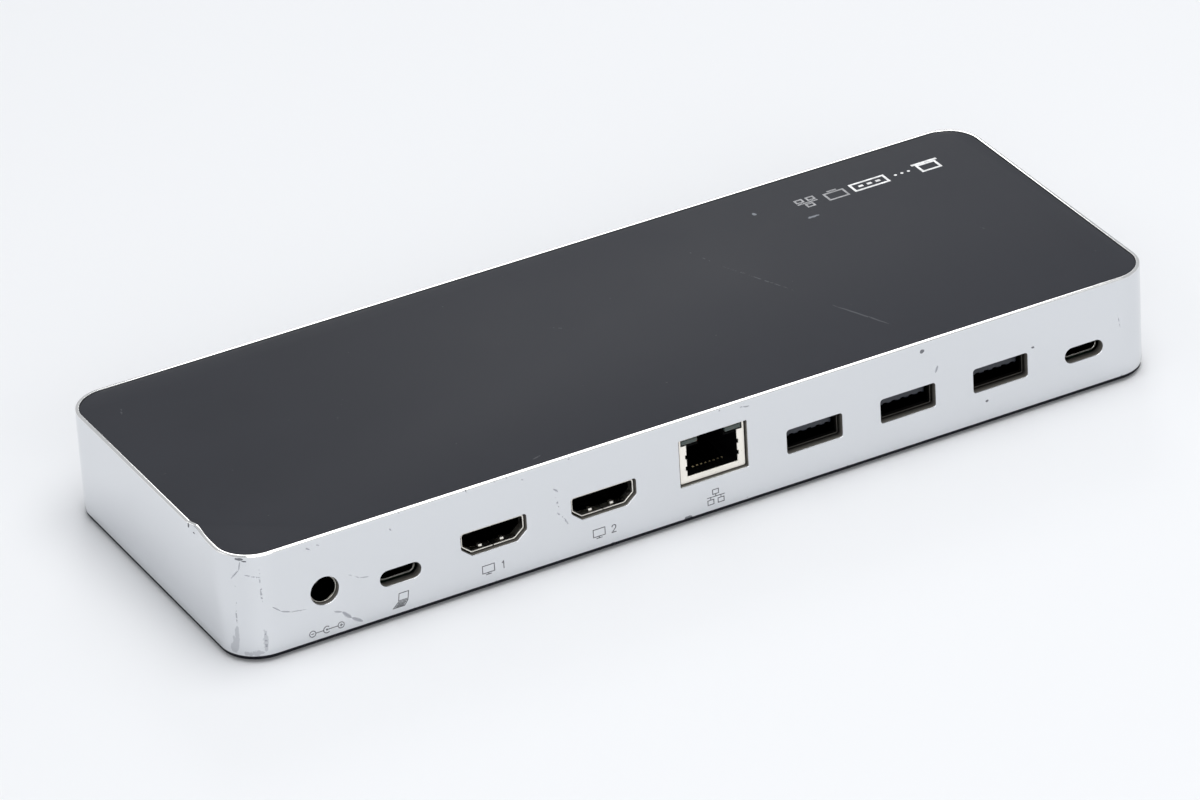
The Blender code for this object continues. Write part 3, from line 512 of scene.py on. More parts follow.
taper = calc(scratch_line, "SUBTRACT", 1.15, calc(scratch_line, "POWER", from_middle, 3.0))
width = calc(scratch_line, "MULTIPLY", entry.outputs["Width"], taper)
line = calc(scratch_line, "SUBTRACT", 1.0, shape_range(
    scratch_line, calc(scratch_line, "DIVIDE", gap, width), 0.35, 1.0))
threshold = calc(scratch_line, "ADD", calc(scratch_line, "MULTIPLY", entry.outputs["Breaks"], 0.35), 0.2)
breaks = shape_range(scratch_line, entry.outputs["Grit"], threshold,
                     calc(scratch_line, "ADD", threshold, 0.08))
scratch_line.links.new(calc(scratch_line, "MULTIPLY", line, breaks), leave.inputs["Mask"])

# A chip: a small spot with a ragged edge, where the finish is knocked off.
chip_spot, entry, leave = new_group(
    "chip_spot", [("Place", POINT, (0, 0, 0)), ("Grit", FLOAT, 0.5), ("Centre", POINT, (0, 0, 0)),
                  ("Size", POINT, (0.001, 0.001, 0.001)), ("Ragged", FLOAT, 0.6)], [("Mask", FLOAT)])
offset = node(chip_spot, "ShaderNodeVectorMath", {0: entry.outputs["Place"], 1: entry.outputs["Centre"]},
              operation="SUBTRACT").outputs[0]
offset = node(chip_spot, "ShaderNodeVectorMath", {0: offset, 1: entry.outputs["Size"]},
              operation="DIVIDE").outputs[0]
reach = node(chip_spot, "ShaderNodeVectorMath", {0: offset}, operation="LENGTH").outputs["Value"]
ragged = calc(chip_spot, "MULTIPLY", calc(chip_spot, "SUBTRACT", entry.outputs["Grit"], 0.5),
              calc(chip_spot, "MULTIPLY", entry.outputs["Ragged"], 3.0))
chip_spot.links.new(shape_range(chip_spot, calc(chip_spot, "ADD", reach, ragged), 1.0, 0.82),
                    leave.inputs["Mask"])

# Fine grain: the small unevenness of a moulded, plated or printed surface, as a height and a tone.
fine_grain, entry, leave = new_group(
    "fine_grain", [("Scale", FLOAT, 3000.0), ("Cloud Scale", FLOAT, 40.0)],
    [("Height", FLOAT), ("Tone", FLOAT)])
place = own_place(fine_grain)
fine_grain.links.new(noise(fine_grain, place, entry.outputs["Scale"], 3.0, 0.6), leave.inputs["Height"])
fine_grain.links.new(noise(fine_grain, place, entry.outputs["Cloud Scale"], 4.0, 0.6),
                     leave.inputs["Tone"])


def bump(tree, shader, height, strength, distance):
    made = node(tree, "ShaderNodeBump", {"Height": height, "Strength": strength, "Distance": distance})
    tree.links.new(made.outputs["Normal"], shader.inputs["Normal"])


def wall_y(x):
    """How far out the wall with the sockets is at an x, in millimetres, round its corners too."""
    straight = (CASE_LENGTH / 2 - CORNER_RADIUS) / MM
    radius = CORNER_RADIUS / MM
    past = max(0.0, min(radius, abs(x) - straight))
    return REAR_FACE / MM + radius - math.sqrt(radius * radius - past * past)


def scratches(tree, worn, lines, top_z=None):
    """Scratch masks for lines (start, end, width, breaks) on the socket wall or on top, in millimetres."""
    masks = []
    for start, end, width, breaks in lines:
        points = []
        for across, along_face in (start, end):
            if top_z is None:
                points.append((across * MM, wall_y(across) * MM, along_face * MM))
            else:
                points.append((across * MM, along_face * MM, top_z))
        made = place_group(tree, scratch_line, {
            "Place": worn.outputs["Place"], "Grit": worn.outputs["Grit"], "Start": points[0],
            "End": points[1], "Width": width * MM, "Breaks": breaks})
        masks.append(made.outputs["Mask"])
    return masks


def chips_at(tree, worn, spots):
    """Chip masks for spots given as (centre, size, ragged), in millimetres."""
    masks = []
    for centre, size, ragged in spots:
        made = place_group(tree, chip_spot, {
            "Place": worn.outputs["Place"], "Grit": worn.outputs["Grit"],
            "Centre": tuple(value * MM for value in centre), "Size": tuple(value * MM for value in size),
            "Ragged": ragged})
        masks.append(made.outputs["Mask"])
    return masks


SILVER = (0.72, 0.735, 0.755)
BARE_MOULDING = (0.16, 0.165, 0.18)
SCRATCHED = (0.30, 0.31, 0.34)
silver, silver_tree, silver_shader = surface("silver_plating", SILVER, 0.15, 1.0)
place = own_place(silver_tree)
height_up = node(silver_tree, "ShaderNodeSeparateXYZ", {0: place}).outputs["Z"]
grain = place_group(silver_tree, fine_grain, {"Scale": 2600.0, "Cloud Scale": 60.0})

worn = place_group(silver_tree, worn_place, {"Waver": 0.5 * MM})

# Wear on the face with the sockets: hair scratches round the power socket, a curved gouge under it,
# rubs beside the second video socket.
rear_lines = [
    ((-109.9, 24.9), (-110.3, 22.6), 0.2, 0.3), ((-110.3, 22.6), (-111.6, 20.2), 0.18, 0.45),
    ((-109.4, 21.5), (-106.4, 20.8), 0.24, 0.6), ((-106.5, 23.6), (-106.6, 19.0), 0.26, 0.95),
    ((-106.6, 18.8), (-106.4, 14.6), 0.3, 0.85), ((-111.0, 19.0), (-111.2, 8.0), 0.24, 0.9),
    ((-106.4, 7.6), (-106.3, 3.0), 0.5, 0.9),
    ((-104.5, 13.0), (-102.6, 11.4), 0.17, 0.2), ((-102.6, 11.4), (-100.4, 10.4), 0.2, 0.1),
    ((-100.4, 10.4), (-96.8, 9.9), 0.14, 0.6), ((-90.6, 7.3), (-88.7, 6.3), 0.26, 0.45),
    ((-88.7, 6.3), (-86.6, 4.3), 0.5, 0.25), ((-86.6, 4.3), (-83.9, 2.6), 0.46, 0.1),
    ((-86.8, 14.9), (-85.4, 14.3), 0.15, 0.3), ((-85.4, 14.3), (-84.0, 13.2), 0.17, 0.3),
    ((-84.0, 13.2), (-81.9, 12.9), 0.16, 0.4), ((-96.9, 25.0), (-94.8, 23.7), 0.24, 0.85),
    ((-93.4, 24.4), (-92.4, 23.9), 0.2, 0.8), ((-46.0, 24.9), (-44.2, 23.7), 0.2, 0.75),
    ((-37.6, 19.6), (-36.0, 18.0), 0.24, 0.6), ((-37.0, 17.8), (-36.2, 13.6), 0.26, 0.85),
    ((-36.9, 13.4), (-35.4, 11.6), 0.24, 0.6), ((-35.4, 11.6), (-34.2, 9.6), 0.24, 0.7),
    ((57.2, 19.2), (56.6, 17.6), 0.34, 0.3), ((103.0, 17.5), (103.9, 13.2), 0.14, 0.75),
    ((-76.3, 22.6), (-75.9, 22.0), 0.22, 0.4), ((8.0, 24.6), (10.6, 24.2), 0.2, 0.7),
]
marks = scratches(silver_tree, worn, rear_lines)
chips = chips_at(silver_tree, worn, [((x, wall_y(x), z), size, ragged) for x, z, size, ragged in (
    (-109.9, 25.4, (1.0, 0.9, 0.34), 0.5), (-109.2, 24.9, (0.5, 0.5, 0.2), 0.8),
    (53.4, 24.0, (0.7, 0.4, 0.5), 0.35), (69.3, 6.4, (0.4, 0.3, 0.3), 0.5),
    (-5.5, 1.8, (1.0, 0.6, 0.4), 0.4),
    (81.2, 16.0, (0.45, 0.3, 0.25), 0.6), (-24.0, 1.7, (0.6, 0.4, 0.25), 0.5))])
chips += chips_at(silver_tree, worn, (((-112.7, -20.6, 25.3), (0.5, 0.28, 0.55), 0.4),
                                      ((-112.6, -22.6, 24.4), (0.5, 0.5, 0.2), 0.8)))
rubbed = most(silver_tree, chips_at(silver_tree, worn, (
    ((-111.3, wall_y(-111.3), 6.4), (0.5, 0.6, 2.4), 0.4),
    ((-111.6, wall_y(-111.6), 4.6), (0.8, 0.8, 1.9), 0.4),
    ((-111.8, wall_y(-111.8), 3.2), (1.1, 1.1, 1.2), 0.4),
    ((-106.4, wall_y(-106.4), 5.0), (0.5, 0.6, 2.6), 1.0),
    ((-109.0, wall_y(-109.0), 2.4), (2.4, 1.6, 0.6), 1.2))))

# Along the rim and the bottom edge the plating is nibbled here and there; the corners are rubbed.
edge_noise = noise(silver_tree, place, 700.0, 3.0, 0.65)
patchy = noise(silver_tree, place, 55.0, 1.0)
near_rim = shape_range(silver_tree, height_up, CASE_TOP - 1.0 * MM, CASE_TOP - 0.25 * MM)
on_top = shape_range(silver_tree, height_up, CASE_TOP - 0.12 * MM, CASE_TOP - 0.04 * MM)
near_foot = shape_range(silver_tree, height_up, FRAME_LOW + 0.7 * MM, FRAME_LOW + 0.1 * MM)
at_edge = calc(silver_tree, "MAXIMUM", calc(silver_tree, "SUBTRACT", near_rim, on_top), near_foot)
nibble = shape_range(silver_tree, calc(silver_tree, "ADD", edge_noise, calc(
    silver_tree, "MULTIPLY", patchy, 0.35)), 0.86, 0.91)
chips.append(calc(silver_tree, "MULTIPLY", nibble, at_edge))
chipped = most(silver_tree, chips)
scratched = most(silver_tree, marks)

# Inside the cut openings the moulding is bare: dark and matt, with a bright plated edge in front. Deeper
# in, its colour is painted darker still: painted shade in the openings.
across_in = node(silver_tree, "ShaderNodeSeparateXYZ", {0: place})
from_middle = calc(silver_tree, "ABSOLUTE", across_in.outputs["Y"])
cut_wall = shape_range(silver_tree, from_middle, FRONT_FACE - 0.12 * MM, FRONT_FACE - 0.3 * MM)
for value, limit in ((calc(silver_tree, "ABSOLUTE", across_in.outputs["X"]), 104.0 * MM),
                     (height_up, 24.0 * MM)):
    cut_wall = calc(silver_tree, "MULTIPLY", cut_wall, calc(silver_tree, "LESS_THAN", value, limit))
# Painted shade: the bare wall's colour runs from its own dark grey at the mouth to near black further in.
cut_wall_tone_and_painted_shade = blend_colour(silver_tree,
                         shape_range(silver_tree, from_middle, FRONT_FACE - 2.0 * MM,
                                     FRONT_FACE - 0.4 * MM),
                         (0.02, 0.018, 0.016), (0.15, 0.14, 0.125))

# The thin band along the top edge is coloured near white: partly the plating's own polish, partly a
# painted highlight.
POLISH_AND_HIGHLIGHT_COLOUR = (0.93, 0.92, 0.90)
polish_and_highlight_band = shape_range(silver_tree, height_up, CASE_TOP - 0.34 * MM, CASE_TOP - 0.2 * MM)
colour = blend_colour(silver_tree, polish_and_highlight_band, SILVER, POLISH_AND_HIGHLIGHT_COLOUR)
colour = blend_colour(silver_tree, calc(silver_tree, "MULTIPLY", rubbed, 0.42), colour, SCRATCHED)
colour = blend_colour(silver_tree, calc(silver_tree, "MULTIPLY", scratched, 0.75), colour, SCRATCHED)
colour = blend_colour(silver_tree, chipped, colour, BARE_MOULDING)
colour = blend_colour(silver_tree, cut_wall, colour, cut_wall_tone_and_painted_shade)
silver_tree.links.new(colour, silver_shader.inputs["Base Color"])
roughness = shape_range(silver_tree, grain.outputs["Tone"], 0.3, 0.7, 0.12, 0.18)
roughness = calc(silver_tree, "SUBTRACT", roughness, calc(silver_tree, "MULTIPLY", near_rim, 0.08))
roughness = calc(silver_tree, "ADD", roughness, calc(silver_tree, "MULTIPLY", calc(
    silver_tree, "MAXIMUM", chipped, scratched), 0.3))
roughness = calc(silver_tree, "ADD", roughness, calc(silver_tree, "MULTIPLY", cut_wall, 0.3))
silver_tree.links.new(roughness, silver_shader.inputs["Roughness"])
bare = calc(silver_tree, "MAXIMUM", calc(silver_tree, "MULTIPLY", chipped, 0.7), cut_wall)
silver_tree.links.new(calc(silver_tree, "SUBTRACT", 1.0, bare), silver_shader.inputs["Metallic"])
height = calc(silver_tree, "SUBTRACT", calc(silver_tree, "MULTIPLY", grain.outputs["Height"], 0.12),
              calc(silver_tree, "MULTIPLY", calc(silver_tree, "MAXIMUM", chipped, scratched), 1.0))
bump(silver_tree, silver_shader, height, 0.35, 0.05 * MM)
dress(silver_frame, silver, ["silver_frame"])

# ------------------------------------------------------------------ top panel
# One flat sheet of charcoal plastic with a fine satin texture, bonded on the frame's ledge just
# under the rim. Use has left a few pale hair scratches and specks on it.
panel_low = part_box("top_panel")[0].z
panel_top = CASE_TOP - PANEL_DROP
panel_side = RIM_WIDTH + 0.12 * MM
panel_bm = bmesh.new()
skin(panel_bm,
     [level(footprint(panel_side), panel_low), level(footprint(panel_side), panel_top - 0.12 * MM),
                level(footprint(panel_side + 0.05 * MM), panel_top - 0.03 * MM),
                level(footprint(panel_side + 0.15 * MM), panel_top)])
top_panel = mesh_object("charcoal_panel", panel_bm)
for vertex in top_panel.data.vertices:
    vertex.co = dented(vertex.co)

CHARCOAL = (0.034, 0.0355, 0.042)
charcoal, tree, shader = surface("panel_charcoal", CHARCOAL, 0.42)
shader.inputs["Specular IOR Level"].default_value = 0.08
grain = place_group(tree, fine_grain, {"Scale": 4200.0, "Cloud Scale": 18.0})
worn = place_group(tree, worn_place, {"Waver": 0.5 * MM})
top_lines = [
    ((30.7, 26.1), (34.0, 15.5), 0.2, 1.0), ((34.6, 13.4), (42.4, -5.4), 0.22, 0.8),
    ((45.9, -15.3), (52.2, -30.3), 0.28, 0.35), ((-102.9, 32.0), (-104.7, 28.1), 0.3, 0.9),
    ((-40.2, -37.9), (-37.8, -37.2), 0.22, 0.3), ((-12.0, 12.0), (-3.0, 4.0), 0.16, 1.15),
    ((-70.0, -4.0), (-61.0, 9.0), 0.16, 1.15), ((88.0, 2.0), (95.0, -12.0), 0.16, 1.1),
]
pale = most(tree, scratches(tree, worn, top_lines, panel_top))
top = panel_top / MM
specks = chips_at(tree, worn, (((52.4, 29.8, top), (0.5, 0.6, 1.0), 0.4),
                               ((62.7, 21.4, top), (1.4, 0.5, 1.0), 0.55)))
dust = shape_range(tree, noise(tree, own_place(tree), 900.0, 1.0), 0.80, 0.86)
tone = blend_colour(tree, shape_range(tree, grain.outputs["Tone"], 0.35, 0.7), CHARCOAL,
                    tuple(value * 1.12 for value in CHARCOAL))
tone = blend_colour(tree, calc(tree, "MULTIPLY", pale, 0.3), tone, (0.22, 0.225, 0.24))
tone = blend_colour(tree, calc(tree, "MULTIPLY", most(tree, specks), 0.6), tone, (0.36, 0.38, 0.42))
tone = blend_colour(tree, calc(tree, "MULTIPLY", dust, 0.25), tone, (0.25, 0.25, 0.26))
tree.links.new(tone, shader.inputs["Base Color"])
tree.links.new(shape_range(tree, grain.outputs["Tone"], 0.3, 0.75, 0.38, 0.47),
               shader.inputs["Roughness"])
bump(tree, shader, calc(tree, "SUBTRACT", grain.outputs["Height"], pale), 0.25, 0.03 * MM)
dress(top_panel, charcoal, ["top_panel"])


# ------------------------------------------------------------------ bottom cover
# A black tray moulded in tough plastic. Its lip snaps up inside the frame, and its edge shows as a
# dark line all round under the silver. Two rows of slots let the warm air out.
COVER_TOP = FRAME_LOW - 0.06 * MM
VENT_PITCH = 5.0 * MM
VENT_SIZE = (2.0 * MM, 22.0 * MM)
VENT_GROUP_X = 38.0 * MM
STANDOFF = (72.0 * MM, 17.0 * MM)


def four(x, y):
    """The same distance from both centre lines, at all four corners."""
    return [(side_x * x, side_y * y) for side_x in (-1, 1) for side_y in (-1, 1)]


def solid_of(bm, outline, stations, middle=(0.0, 0.0)):
    """A round or flat-sided solid: the outline's size at a station is given by its inset."""
    skin(bm, [[(middle[0] + x, middle[1] + y, z) for x, y in outline(inset)] for inset, z in stations])


cover_bm = bmesh.new()
cover_profile = [(0.72, 0.6), (0.62, 0.605), (0.3, 0.82), (0.22, 0.9), (0.2, 1.0),
                 (0.2, COVER_TOP / MM - 0.05),
                 (0.28, COVER_TOP / MM), (2.3, COVER_TOP / MM), (2.3, 4.1), (2.4, 4.2), (3.7, 4.2),
                 (3.8, 4.1),
                 (3.8, 2.2)]
skin(cover_bm, [level(footprint(inset * MM), height * MM) for inset, height in cover_profile])
cover = mesh_object("black_tray", cover_bm)

posts = bmesh.new()
for middle in four(CASE_LENGTH / 2 - 8.0 * MM, CASE_DEPTH / 2 - 8.0 * MM):
    solid_of(posts, lambda inset: circle(3.8 * MM - inset),
             ((0, 1.4 * MM), (0, 3.9 * MM), (0.1 * MM, 4.0 * MM)), middle)
for middle in four(*STANDOFF):
    solid_of(posts, lambda inset: circle(2.6 * MM - inset),
             ((0, 1.4 * MM), (0, 6.8 * MM), (0.1 * MM, 6.9 * MM)), middle)
carve(cover, posts, "UNION")

holes = bmesh.new()
for middle in four(CASE_LENGTH / 2 - 8.0 * MM, CASE_DEPTH / 2 - 8.0 * MM):
    solid_of(holes, lambda inset: circle(2.9 * MM - inset),
             ((-0.5 * MM, 0.2 * MM), (-0.15 * MM, 0.6 * MM), (0, 0.75 * MM), (0, 2.4 * MM),
              (1.4 * MM, 2.4 * MM),
              (1.4 * MM, 5.2 * MM)), middle)
for middle in four(*STANDOFF):
    solid_of(holes, lambda inset: circle(1.2 * MM - inset, 16), ((0, 2.2 * MM), (0, 8.8 * MM)), middle)
foot_low, foot_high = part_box("foot_1")
foot_radius = (foot_high.x - foot_low.x) / 2
for number in range(1, 5):
    seat = centre_of("foot_" + str(number))
    solid_of(holes, lambda inset: circle(foot_radius + 0.3 * MM - inset, 48),
             ((-0.4 * MM, 0.2 * MM), (-0.1 * MM, 0.6 * MM), (0, 0.7 * MM), (0, 1.1 * MM)),
             (seat.x, seat.y))
for group in (-1, 1):
    for number in range(-3, 4):
        at = (group * VENT_GROUP_X + number * VENT_PITCH, 0.0)
        solid_of(holes, lambda inset: rounded(VENT_SIZE[0] - 2 * inset, VENT_SIZE[1] - 2 * inset,
                                              VENT_SIZE[0] / 2 - inset - 0.001 * MM, 6),
                 ((-0.4 * MM, 0.3 * MM), (-0.2 * MM, 0.6 * MM), (0, 0.8 * MM), (0, 3.0 * MM)), at)
carve(cover, holes, "DIFFERENCE")

# The moulding's spark-eroded texture, scuffs in one direction on the low faces, and dust.
moulding_group, entry, leave = new_group(
    "moulded_black",
    [("Texture Scale", FLOAT, 2400.0), ("Scuff Amount", FLOAT, 0.5), ("Dust Amount", FLOAT, 0.5)],
    [("Height", FLOAT), ("Scuff", FLOAT), ("Dust", FLOAT)])
place = own_place(moulding_group)
fine = noise(moulding_group, place, entry.outputs["Texture Scale"], 2.0, 0.7)
stretched = node(moulding_group, "ShaderNodeMapping", {"Vector": place, "Scale": (1.0, 0.06, 1.0),
                                                       "Rotation": (0.0, 0.0, 0.5)}).outputs[0]
scuff = shape_range(moulding_group, noise(moulding_group, stretched, 1500.0, 4.0, 0.7), 0.62, 0.72)
patch = shape_range(moulding_group, noise(moulding_group, place, 40.0, 3.0), 0.45, 0.7)
scuff = calc(moulding_group, "MULTIPLY", calc(moulding_group, "MULTIPLY", scuff, patch),
             entry.outputs["Scuff Amount"])
dust = shape_range(moulding_group, noise(moulding_group, place, 1300.0, 2.0), 0.66, 0.78)
moulding_group.links.new(fine, leave.inputs["Height"])
moulding_group.links.new(scuff, leave.inputs["Scuff"])
moulding_group.links.new(calc(moulding_group, "MULTIPLY", dust, entry.outputs["Dust Amount"]),
                         leave.inputs["Dust"])


def moulded(name, colour, roughness, scuffed, dusty, scale=2400.0, bumpy=0.3):
    """A moulded plastic or rubber: fine texture, scuffs that dull and lighten it, dust specks."""
    made, tree, shader = surface(name, colour, roughness)
    detail = place_group(tree, moulding_group, {"Texture Scale": scale, "Scuff Amount": scuffed,
                                                "Dust Amount": dusty})
    shade = blend_colour(tree, detail.outputs["Scuff"], colour,
                         tuple(value * 2.0 + 0.05 for value in colour))
    shade = blend_colour(tree, calc(tree, "MULTIPLY", detail.outputs["Dust"], 0.5), shade,
                         (0.2, 0.19, 0.18))
    tree.links.new(shade, shader.inputs["Base Color"])
    dull = calc(tree, "ADD", calc(tree, "MULTIPLY", detail.outputs["Scuff"], 0.2), calc(
        tree, "MULTIPLY", detail.outputs["Height"], 0.1))
    tree.links.new(calc(tree, "ADD", dull, roughness - 0.05), shader.inputs["Roughness"])
    bump(tree, shader, detail.outputs["Height"], bumpy, 0.04 * MM)
    return made, tree, shader


cover_black, tree, shader = moulded("cover_black", (0.005, 0.0052, 0.009), 0.55, 0.22, 0.25)
shader.inputs["Specular IOR Level"].default_value = 0.1
dress(cover, cover_black, ["bottom_cover"])

# ------------------------------------------------------------------ feet and case screws
# Four pads punched from soft black rubber sit in shallow seats. Four blackened steel screws with
# six-sided recesses hold the cover to the frame.
foot_rubber = moulded("foot_rubber", (0.02, 0.02, 0.021), 0.82, 0.7, 0.9, 900.0, 0.6)[0]
for number in range(1, 5):
    name = "foot_" + str(number)
    low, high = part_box(name)
    middle = (low + high) / 2
    pad_bm = bmesh.new()
    stations = [(0.35 * MM, 0.0), (0.2 * MM, 0.03 * MM), (0.06 * MM, 0.12 * MM), (0.0, 0.25 * MM),
                (0.0, high.z)]
    solid_of(pad_bm, lambda inset: circle(foot_radius - inset, 64), stations, (middle.x, middle.y))
    pad = mesh_object("rubber_pad_" + str(number), pad_bm)
    ring_bm = bmesh.new()
    for outer in (4.6 * MM, 3.2 * MM):
        skin(ring_bm, [level(circle(size, 48, (middle.x, middle.y)), height) for size, height in (
            (outer, -0.2 * MM), (outer, 0.15 * MM), (outer - 0.5 * MM, 0.15 * MM),
            (outer - 0.5 * MM, -0.2 * MM))],
             ring=True)
    carve(pad, ring_bm)
    dress(pad, foot_rubber, [name])

metal_group, entry, leave = new_group(
    "worked_metal",
    [("Grain", POINT, (1.0, 1.0, 1.0)), ("Scale", FLOAT, 900.0), ("Smudge Scale", FLOAT, 150.0)],
    [("Height", FLOAT), ("Smudge", FLOAT), ("Spots", FLOAT)])
place = own_place(metal_group)
drawn = node(metal_group, "ShaderNodeVectorMath", {0: place, 1: entry.outputs["Grain"]},
             operation="MULTIPLY").outputs[0]
metal_group.links.new(noise(metal_group, drawn, entry.outputs["Scale"], 4.0, 0.7),
                      leave.inputs["Height"])
metal_group.links.new(noise(metal_group, place, entry.outputs["Smudge Scale"], 3.0),
                      leave.inputs["Smudge"])
metal_group.links.new(shape_range(metal_group, noise(metal_group, place, 1900.0, 2.0), 0.66, 0.74),
                      leave.inputs["Spots"])


def metal(name, colour, roughness, grain=(1.0, 1.0, 1.0), scale=900.0, tarnish=0.35, painted_shade_from=None):
    """A worked metal: drawn grain, smudges, dark spots; past a given depth inside a shell its colour is
    painted near black as painted shade.
    """
    made, tree, shader = surface(name, colour, roughness, 1.0)
    detail = place_group(tree, metal_group, {"Grain": grain, "Scale": scale})
    shade = blend_colour(tree,
                         calc(tree, "MULTIPLY", shape_range(tree, detail.outputs["Smudge"], 0.4, 0.75),
                              tarnish),
                         colour, tuple(value * 0.55 for value in colour))
    shade = blend_colour(tree, calc(tree, "MULTIPLY", detail.outputs["Spots"], 0.5), shade,
                         tuple(value * 0.35 for value in colour))
    # Painted shade: past the given depth the metal's colour goes near black, standing in for the dark
    # inside of a shell.
    if painted_shade_from is not None:
        depth = calc(tree, "ABSOLUTE",
                     node(tree, "ShaderNodeSeparateXYZ", {0: own_place(tree)}).outputs["Y"])
        inside = shape_range(tree, depth, painted_shade_from, painted_shade_from - 0.3 * MM)
        shade = blend_colour(tree, inside, shade, tuple(value * 0.006 for value in colour))
    tree.links.new(shade, shader.inputs["Base Color"])
    tree.links.new(calc(tree, "ADD", calc(tree, "MULTIPLY", detail.outputs["Smudge"], 0.25),
                        roughness - 0.1),
                   shader.inputs["Roughness"])
    bump(tree, shader, detail.outputs["Height"], 0.2, 0.02 * MM)
    return made, tree, shader


screw_steel = metal("screw_steel", (0.10, 0.095, 0.09), 0.38, (1.0, 1.0, 4.0), 1400.0)[0]
HEAD_RADIUS = 2.6 * MM
HEAD_HEIGHT = 1.1 * MM


def cap_screw(name, node_name, head, shank, head_height, recess):
    """A screw with a rounded head and a six-sided recess; the head is at its lower end or its top."""
    low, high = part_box(node_name)
    middle = (low + high) / 2
    points_up = node_name.startswith("case")
    start, way = (low.z, 1) if points_up else (high.z, -1)
    made_bm = bmesh.new()
    head_low = [(head - 0.35 * MM, 0.0), (head - 0.1 * MM, 0.06 * MM), (head, 0.25 * MM),
                (head, head_height),
                (shank, head_height)]
    steps = head_low + [(shank, abs(high.z - low.z) - 0.4 * MM), (shank * 0.7, abs(high.z - low.z))]
    skin(made_bm,
         [level(circle(size, 32, (middle.x, middle.y)), start + way * reach) for size, reach in steps])
    made = mesh_object(name, made_bm)
    drive = bmesh.new()
    skin(drive, [level(circle(size, 6, (middle.x, middle.y)), start + way * reach) for size, reach in (
        (recess + 0.15 * MM, -0.3 * MM), (recess + 0.1 * MM, 0.0), (recess, 0.1 * MM),
        (recess, head_height * 0.6),
        (recess * 0.4, head_height * 0.75))])
    carve(made, drive)
    return made


for number in range(1, 5):
    name = "case_screw_" + str(number)
    dress(cap_screw("cover_screw_" + str(number), name, HEAD_RADIUS, 1.2 * MM, HEAD_HEIGHT, 1.2 * MM),
          screw_steel, [name])
    name = "board_screw_" + str(number)
    low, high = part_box(name)
    dress(cap_screw("small_screw_" + str(number), name, (high.x - low.x) / 2, 0.9 * MM, 1.0 * MM,
                    0.8 * MM),
          screw_steel, [name])

# ------------------------------------------------------------------ power socket
# A moulded black socket stands on the board behind its round hole. A sprung steel sleeve lines it,
# and a steel pin stands in the middle, well back from the mouth.
SETBACK = 2.3 * MM
socket_plastic = moulded("socket_plastic", (0.009, 0.009, 0.0105), 0.32, 0.1, 0.25)[0]
# A near-black copy of the socket plastic with almost no shine: painted shade for the deep inside of the
# network socket.
near_black_painted_shade, tree, shader = moulded("socket_plastic_painted_shade", (0.002, 0.002, 0.002), 0.7, 0.0, 0.02)
shader.inputs["Specular IOR Level"].default_value = 0.03
socket_steel = metal("socket_steel", (0.66, 0.65, 0.61), 0.28, (1.0, 1.0, 0.2), 1200.0)[0]
# The sleeve's steel is painted near black past a little way in: painted shade.
sleeve_steel = metal("sleeve_steel", (0.80, 0.77, 0.70), 0.25, painted_shade_from=FRONT_FACE - 1.25 * MM)[0]
contact_gold = metal("contact_gold", (0.83, 0.62, 0.28), 0.28, (1.0, 0.3, 1.0), 1200.0, 0.2)[0]


def depth_at(face, inward, distance):
    return face + inward * distance


def along_y(bm, outline, stations, face, inward=1, ring=False):
    """A solid that runs straight in from one face: each station is (inset, distance in)."""
    skin(bm, [upright(outline(inset), depth_at(face, inward, distance)) for inset, distance in stations],
         ring)


def sleeve_stations(start, end, wall, lip=0.06 * MM):
    """Stations of a thin tube with a rounded front edge."""
    return [(lip, start), (0.0, start + lip), (0.0, end), (wall, end), (wall, start + lip),
            (wall - lip, start)]


body_low, body_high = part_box("power_socket_body")
hole = (power_middle.x, power_middle.z)
body_bm = bmesh.new()
body_middle = ((body_low.x + body_high.x) / 2, (body_low.z + body_high.z) / 2)
along_y(body_bm,
        lambda inset: rounded(body_high.x - body_low.x - 2 * inset, body_high.z - body_low.z - 2 * inset,
                                       0.5 * MM, 5, body_middle),
        ((0.15 * MM, SETBACK), (0.0, SETBACK + 0.15 * MM), (0.0, SETBACK + 12.0 * MM)), REAR_FACE)
body = mesh_object("power_block", body_bm)
bore_bm = bmesh.new()
along_y(bore_bm, lambda inset: circle(3.4 * MM - inset, 48, hole),
        ((-0.3 * MM, 2.0 * MM), (-0.1 * MM, SETBACK + 0.1 * MM), (0.0, SETBACK + 0.25 * MM),
         (0.0, SETBACK + 9.5 * MM)),
        REAR_FACE)
carve(body, bore_bm)
dress(body, socket_plastic, ["power_socket_body"])

sleeve_bm = bmesh.new()
along_y(sleeve_bm, lambda inset: circle(3.15 * MM - inset, 48, hole),
        sleeve_stations(1.0 * MM, SETBACK + 9.2 * MM, 0.2 * MM), REAR_FACE, ring=True)
sleeve = mesh_object("sprung_sleeve", sleeve_bm)
dress(sleeve, sleeve_steel, ["power_socket_sleeve"])

pin_bm = bmesh.new()
along_y(pin_bm, lambda inset: circle(0.9 * MM - inset, 24, hole),
        ((0.55 * MM, SETBACK + 2.0 * MM), (0.3 * MM, SETBACK + 2.1 * MM),
         (0.1 * MM, SETBACK + 2.35 * MM),
         (0.0, SETBACK + 2.7 * MM), (0.0, SETBACK + 9.2 * MM)), REAR_FACE)
pin = mesh_object("centre_pin", pin_bm)
dress(pin, socket_steel, ["power_socket_pin"])

# ------------------------------------------------------------------ type C sockets
# Two small oval sockets. Each is a drawn steel shell round a thin black tongue with gold pads on
# both faces, soldered to the board behind the wall.


def gold_pads(bm, middle, pitch, count, size, start, height, face, inward=1, up=1):
    """A row of thin contact pads laid on a tongue's face, running inwards."""
    for number in range(count):
        x = middle + (number - (count - 1) / 2) * pitch
        corners = rounded(size[0], 2 * abs(size[1]), size[0] * 0.3, 2)
        skin(bm, [[(x + across, depth_at(face, inward, start + size[1] + reach), height + up * rise)
                   for across, reach in corners] for rise in (-0.05 * MM, 0.02 * MM, 0.03 * MM)])
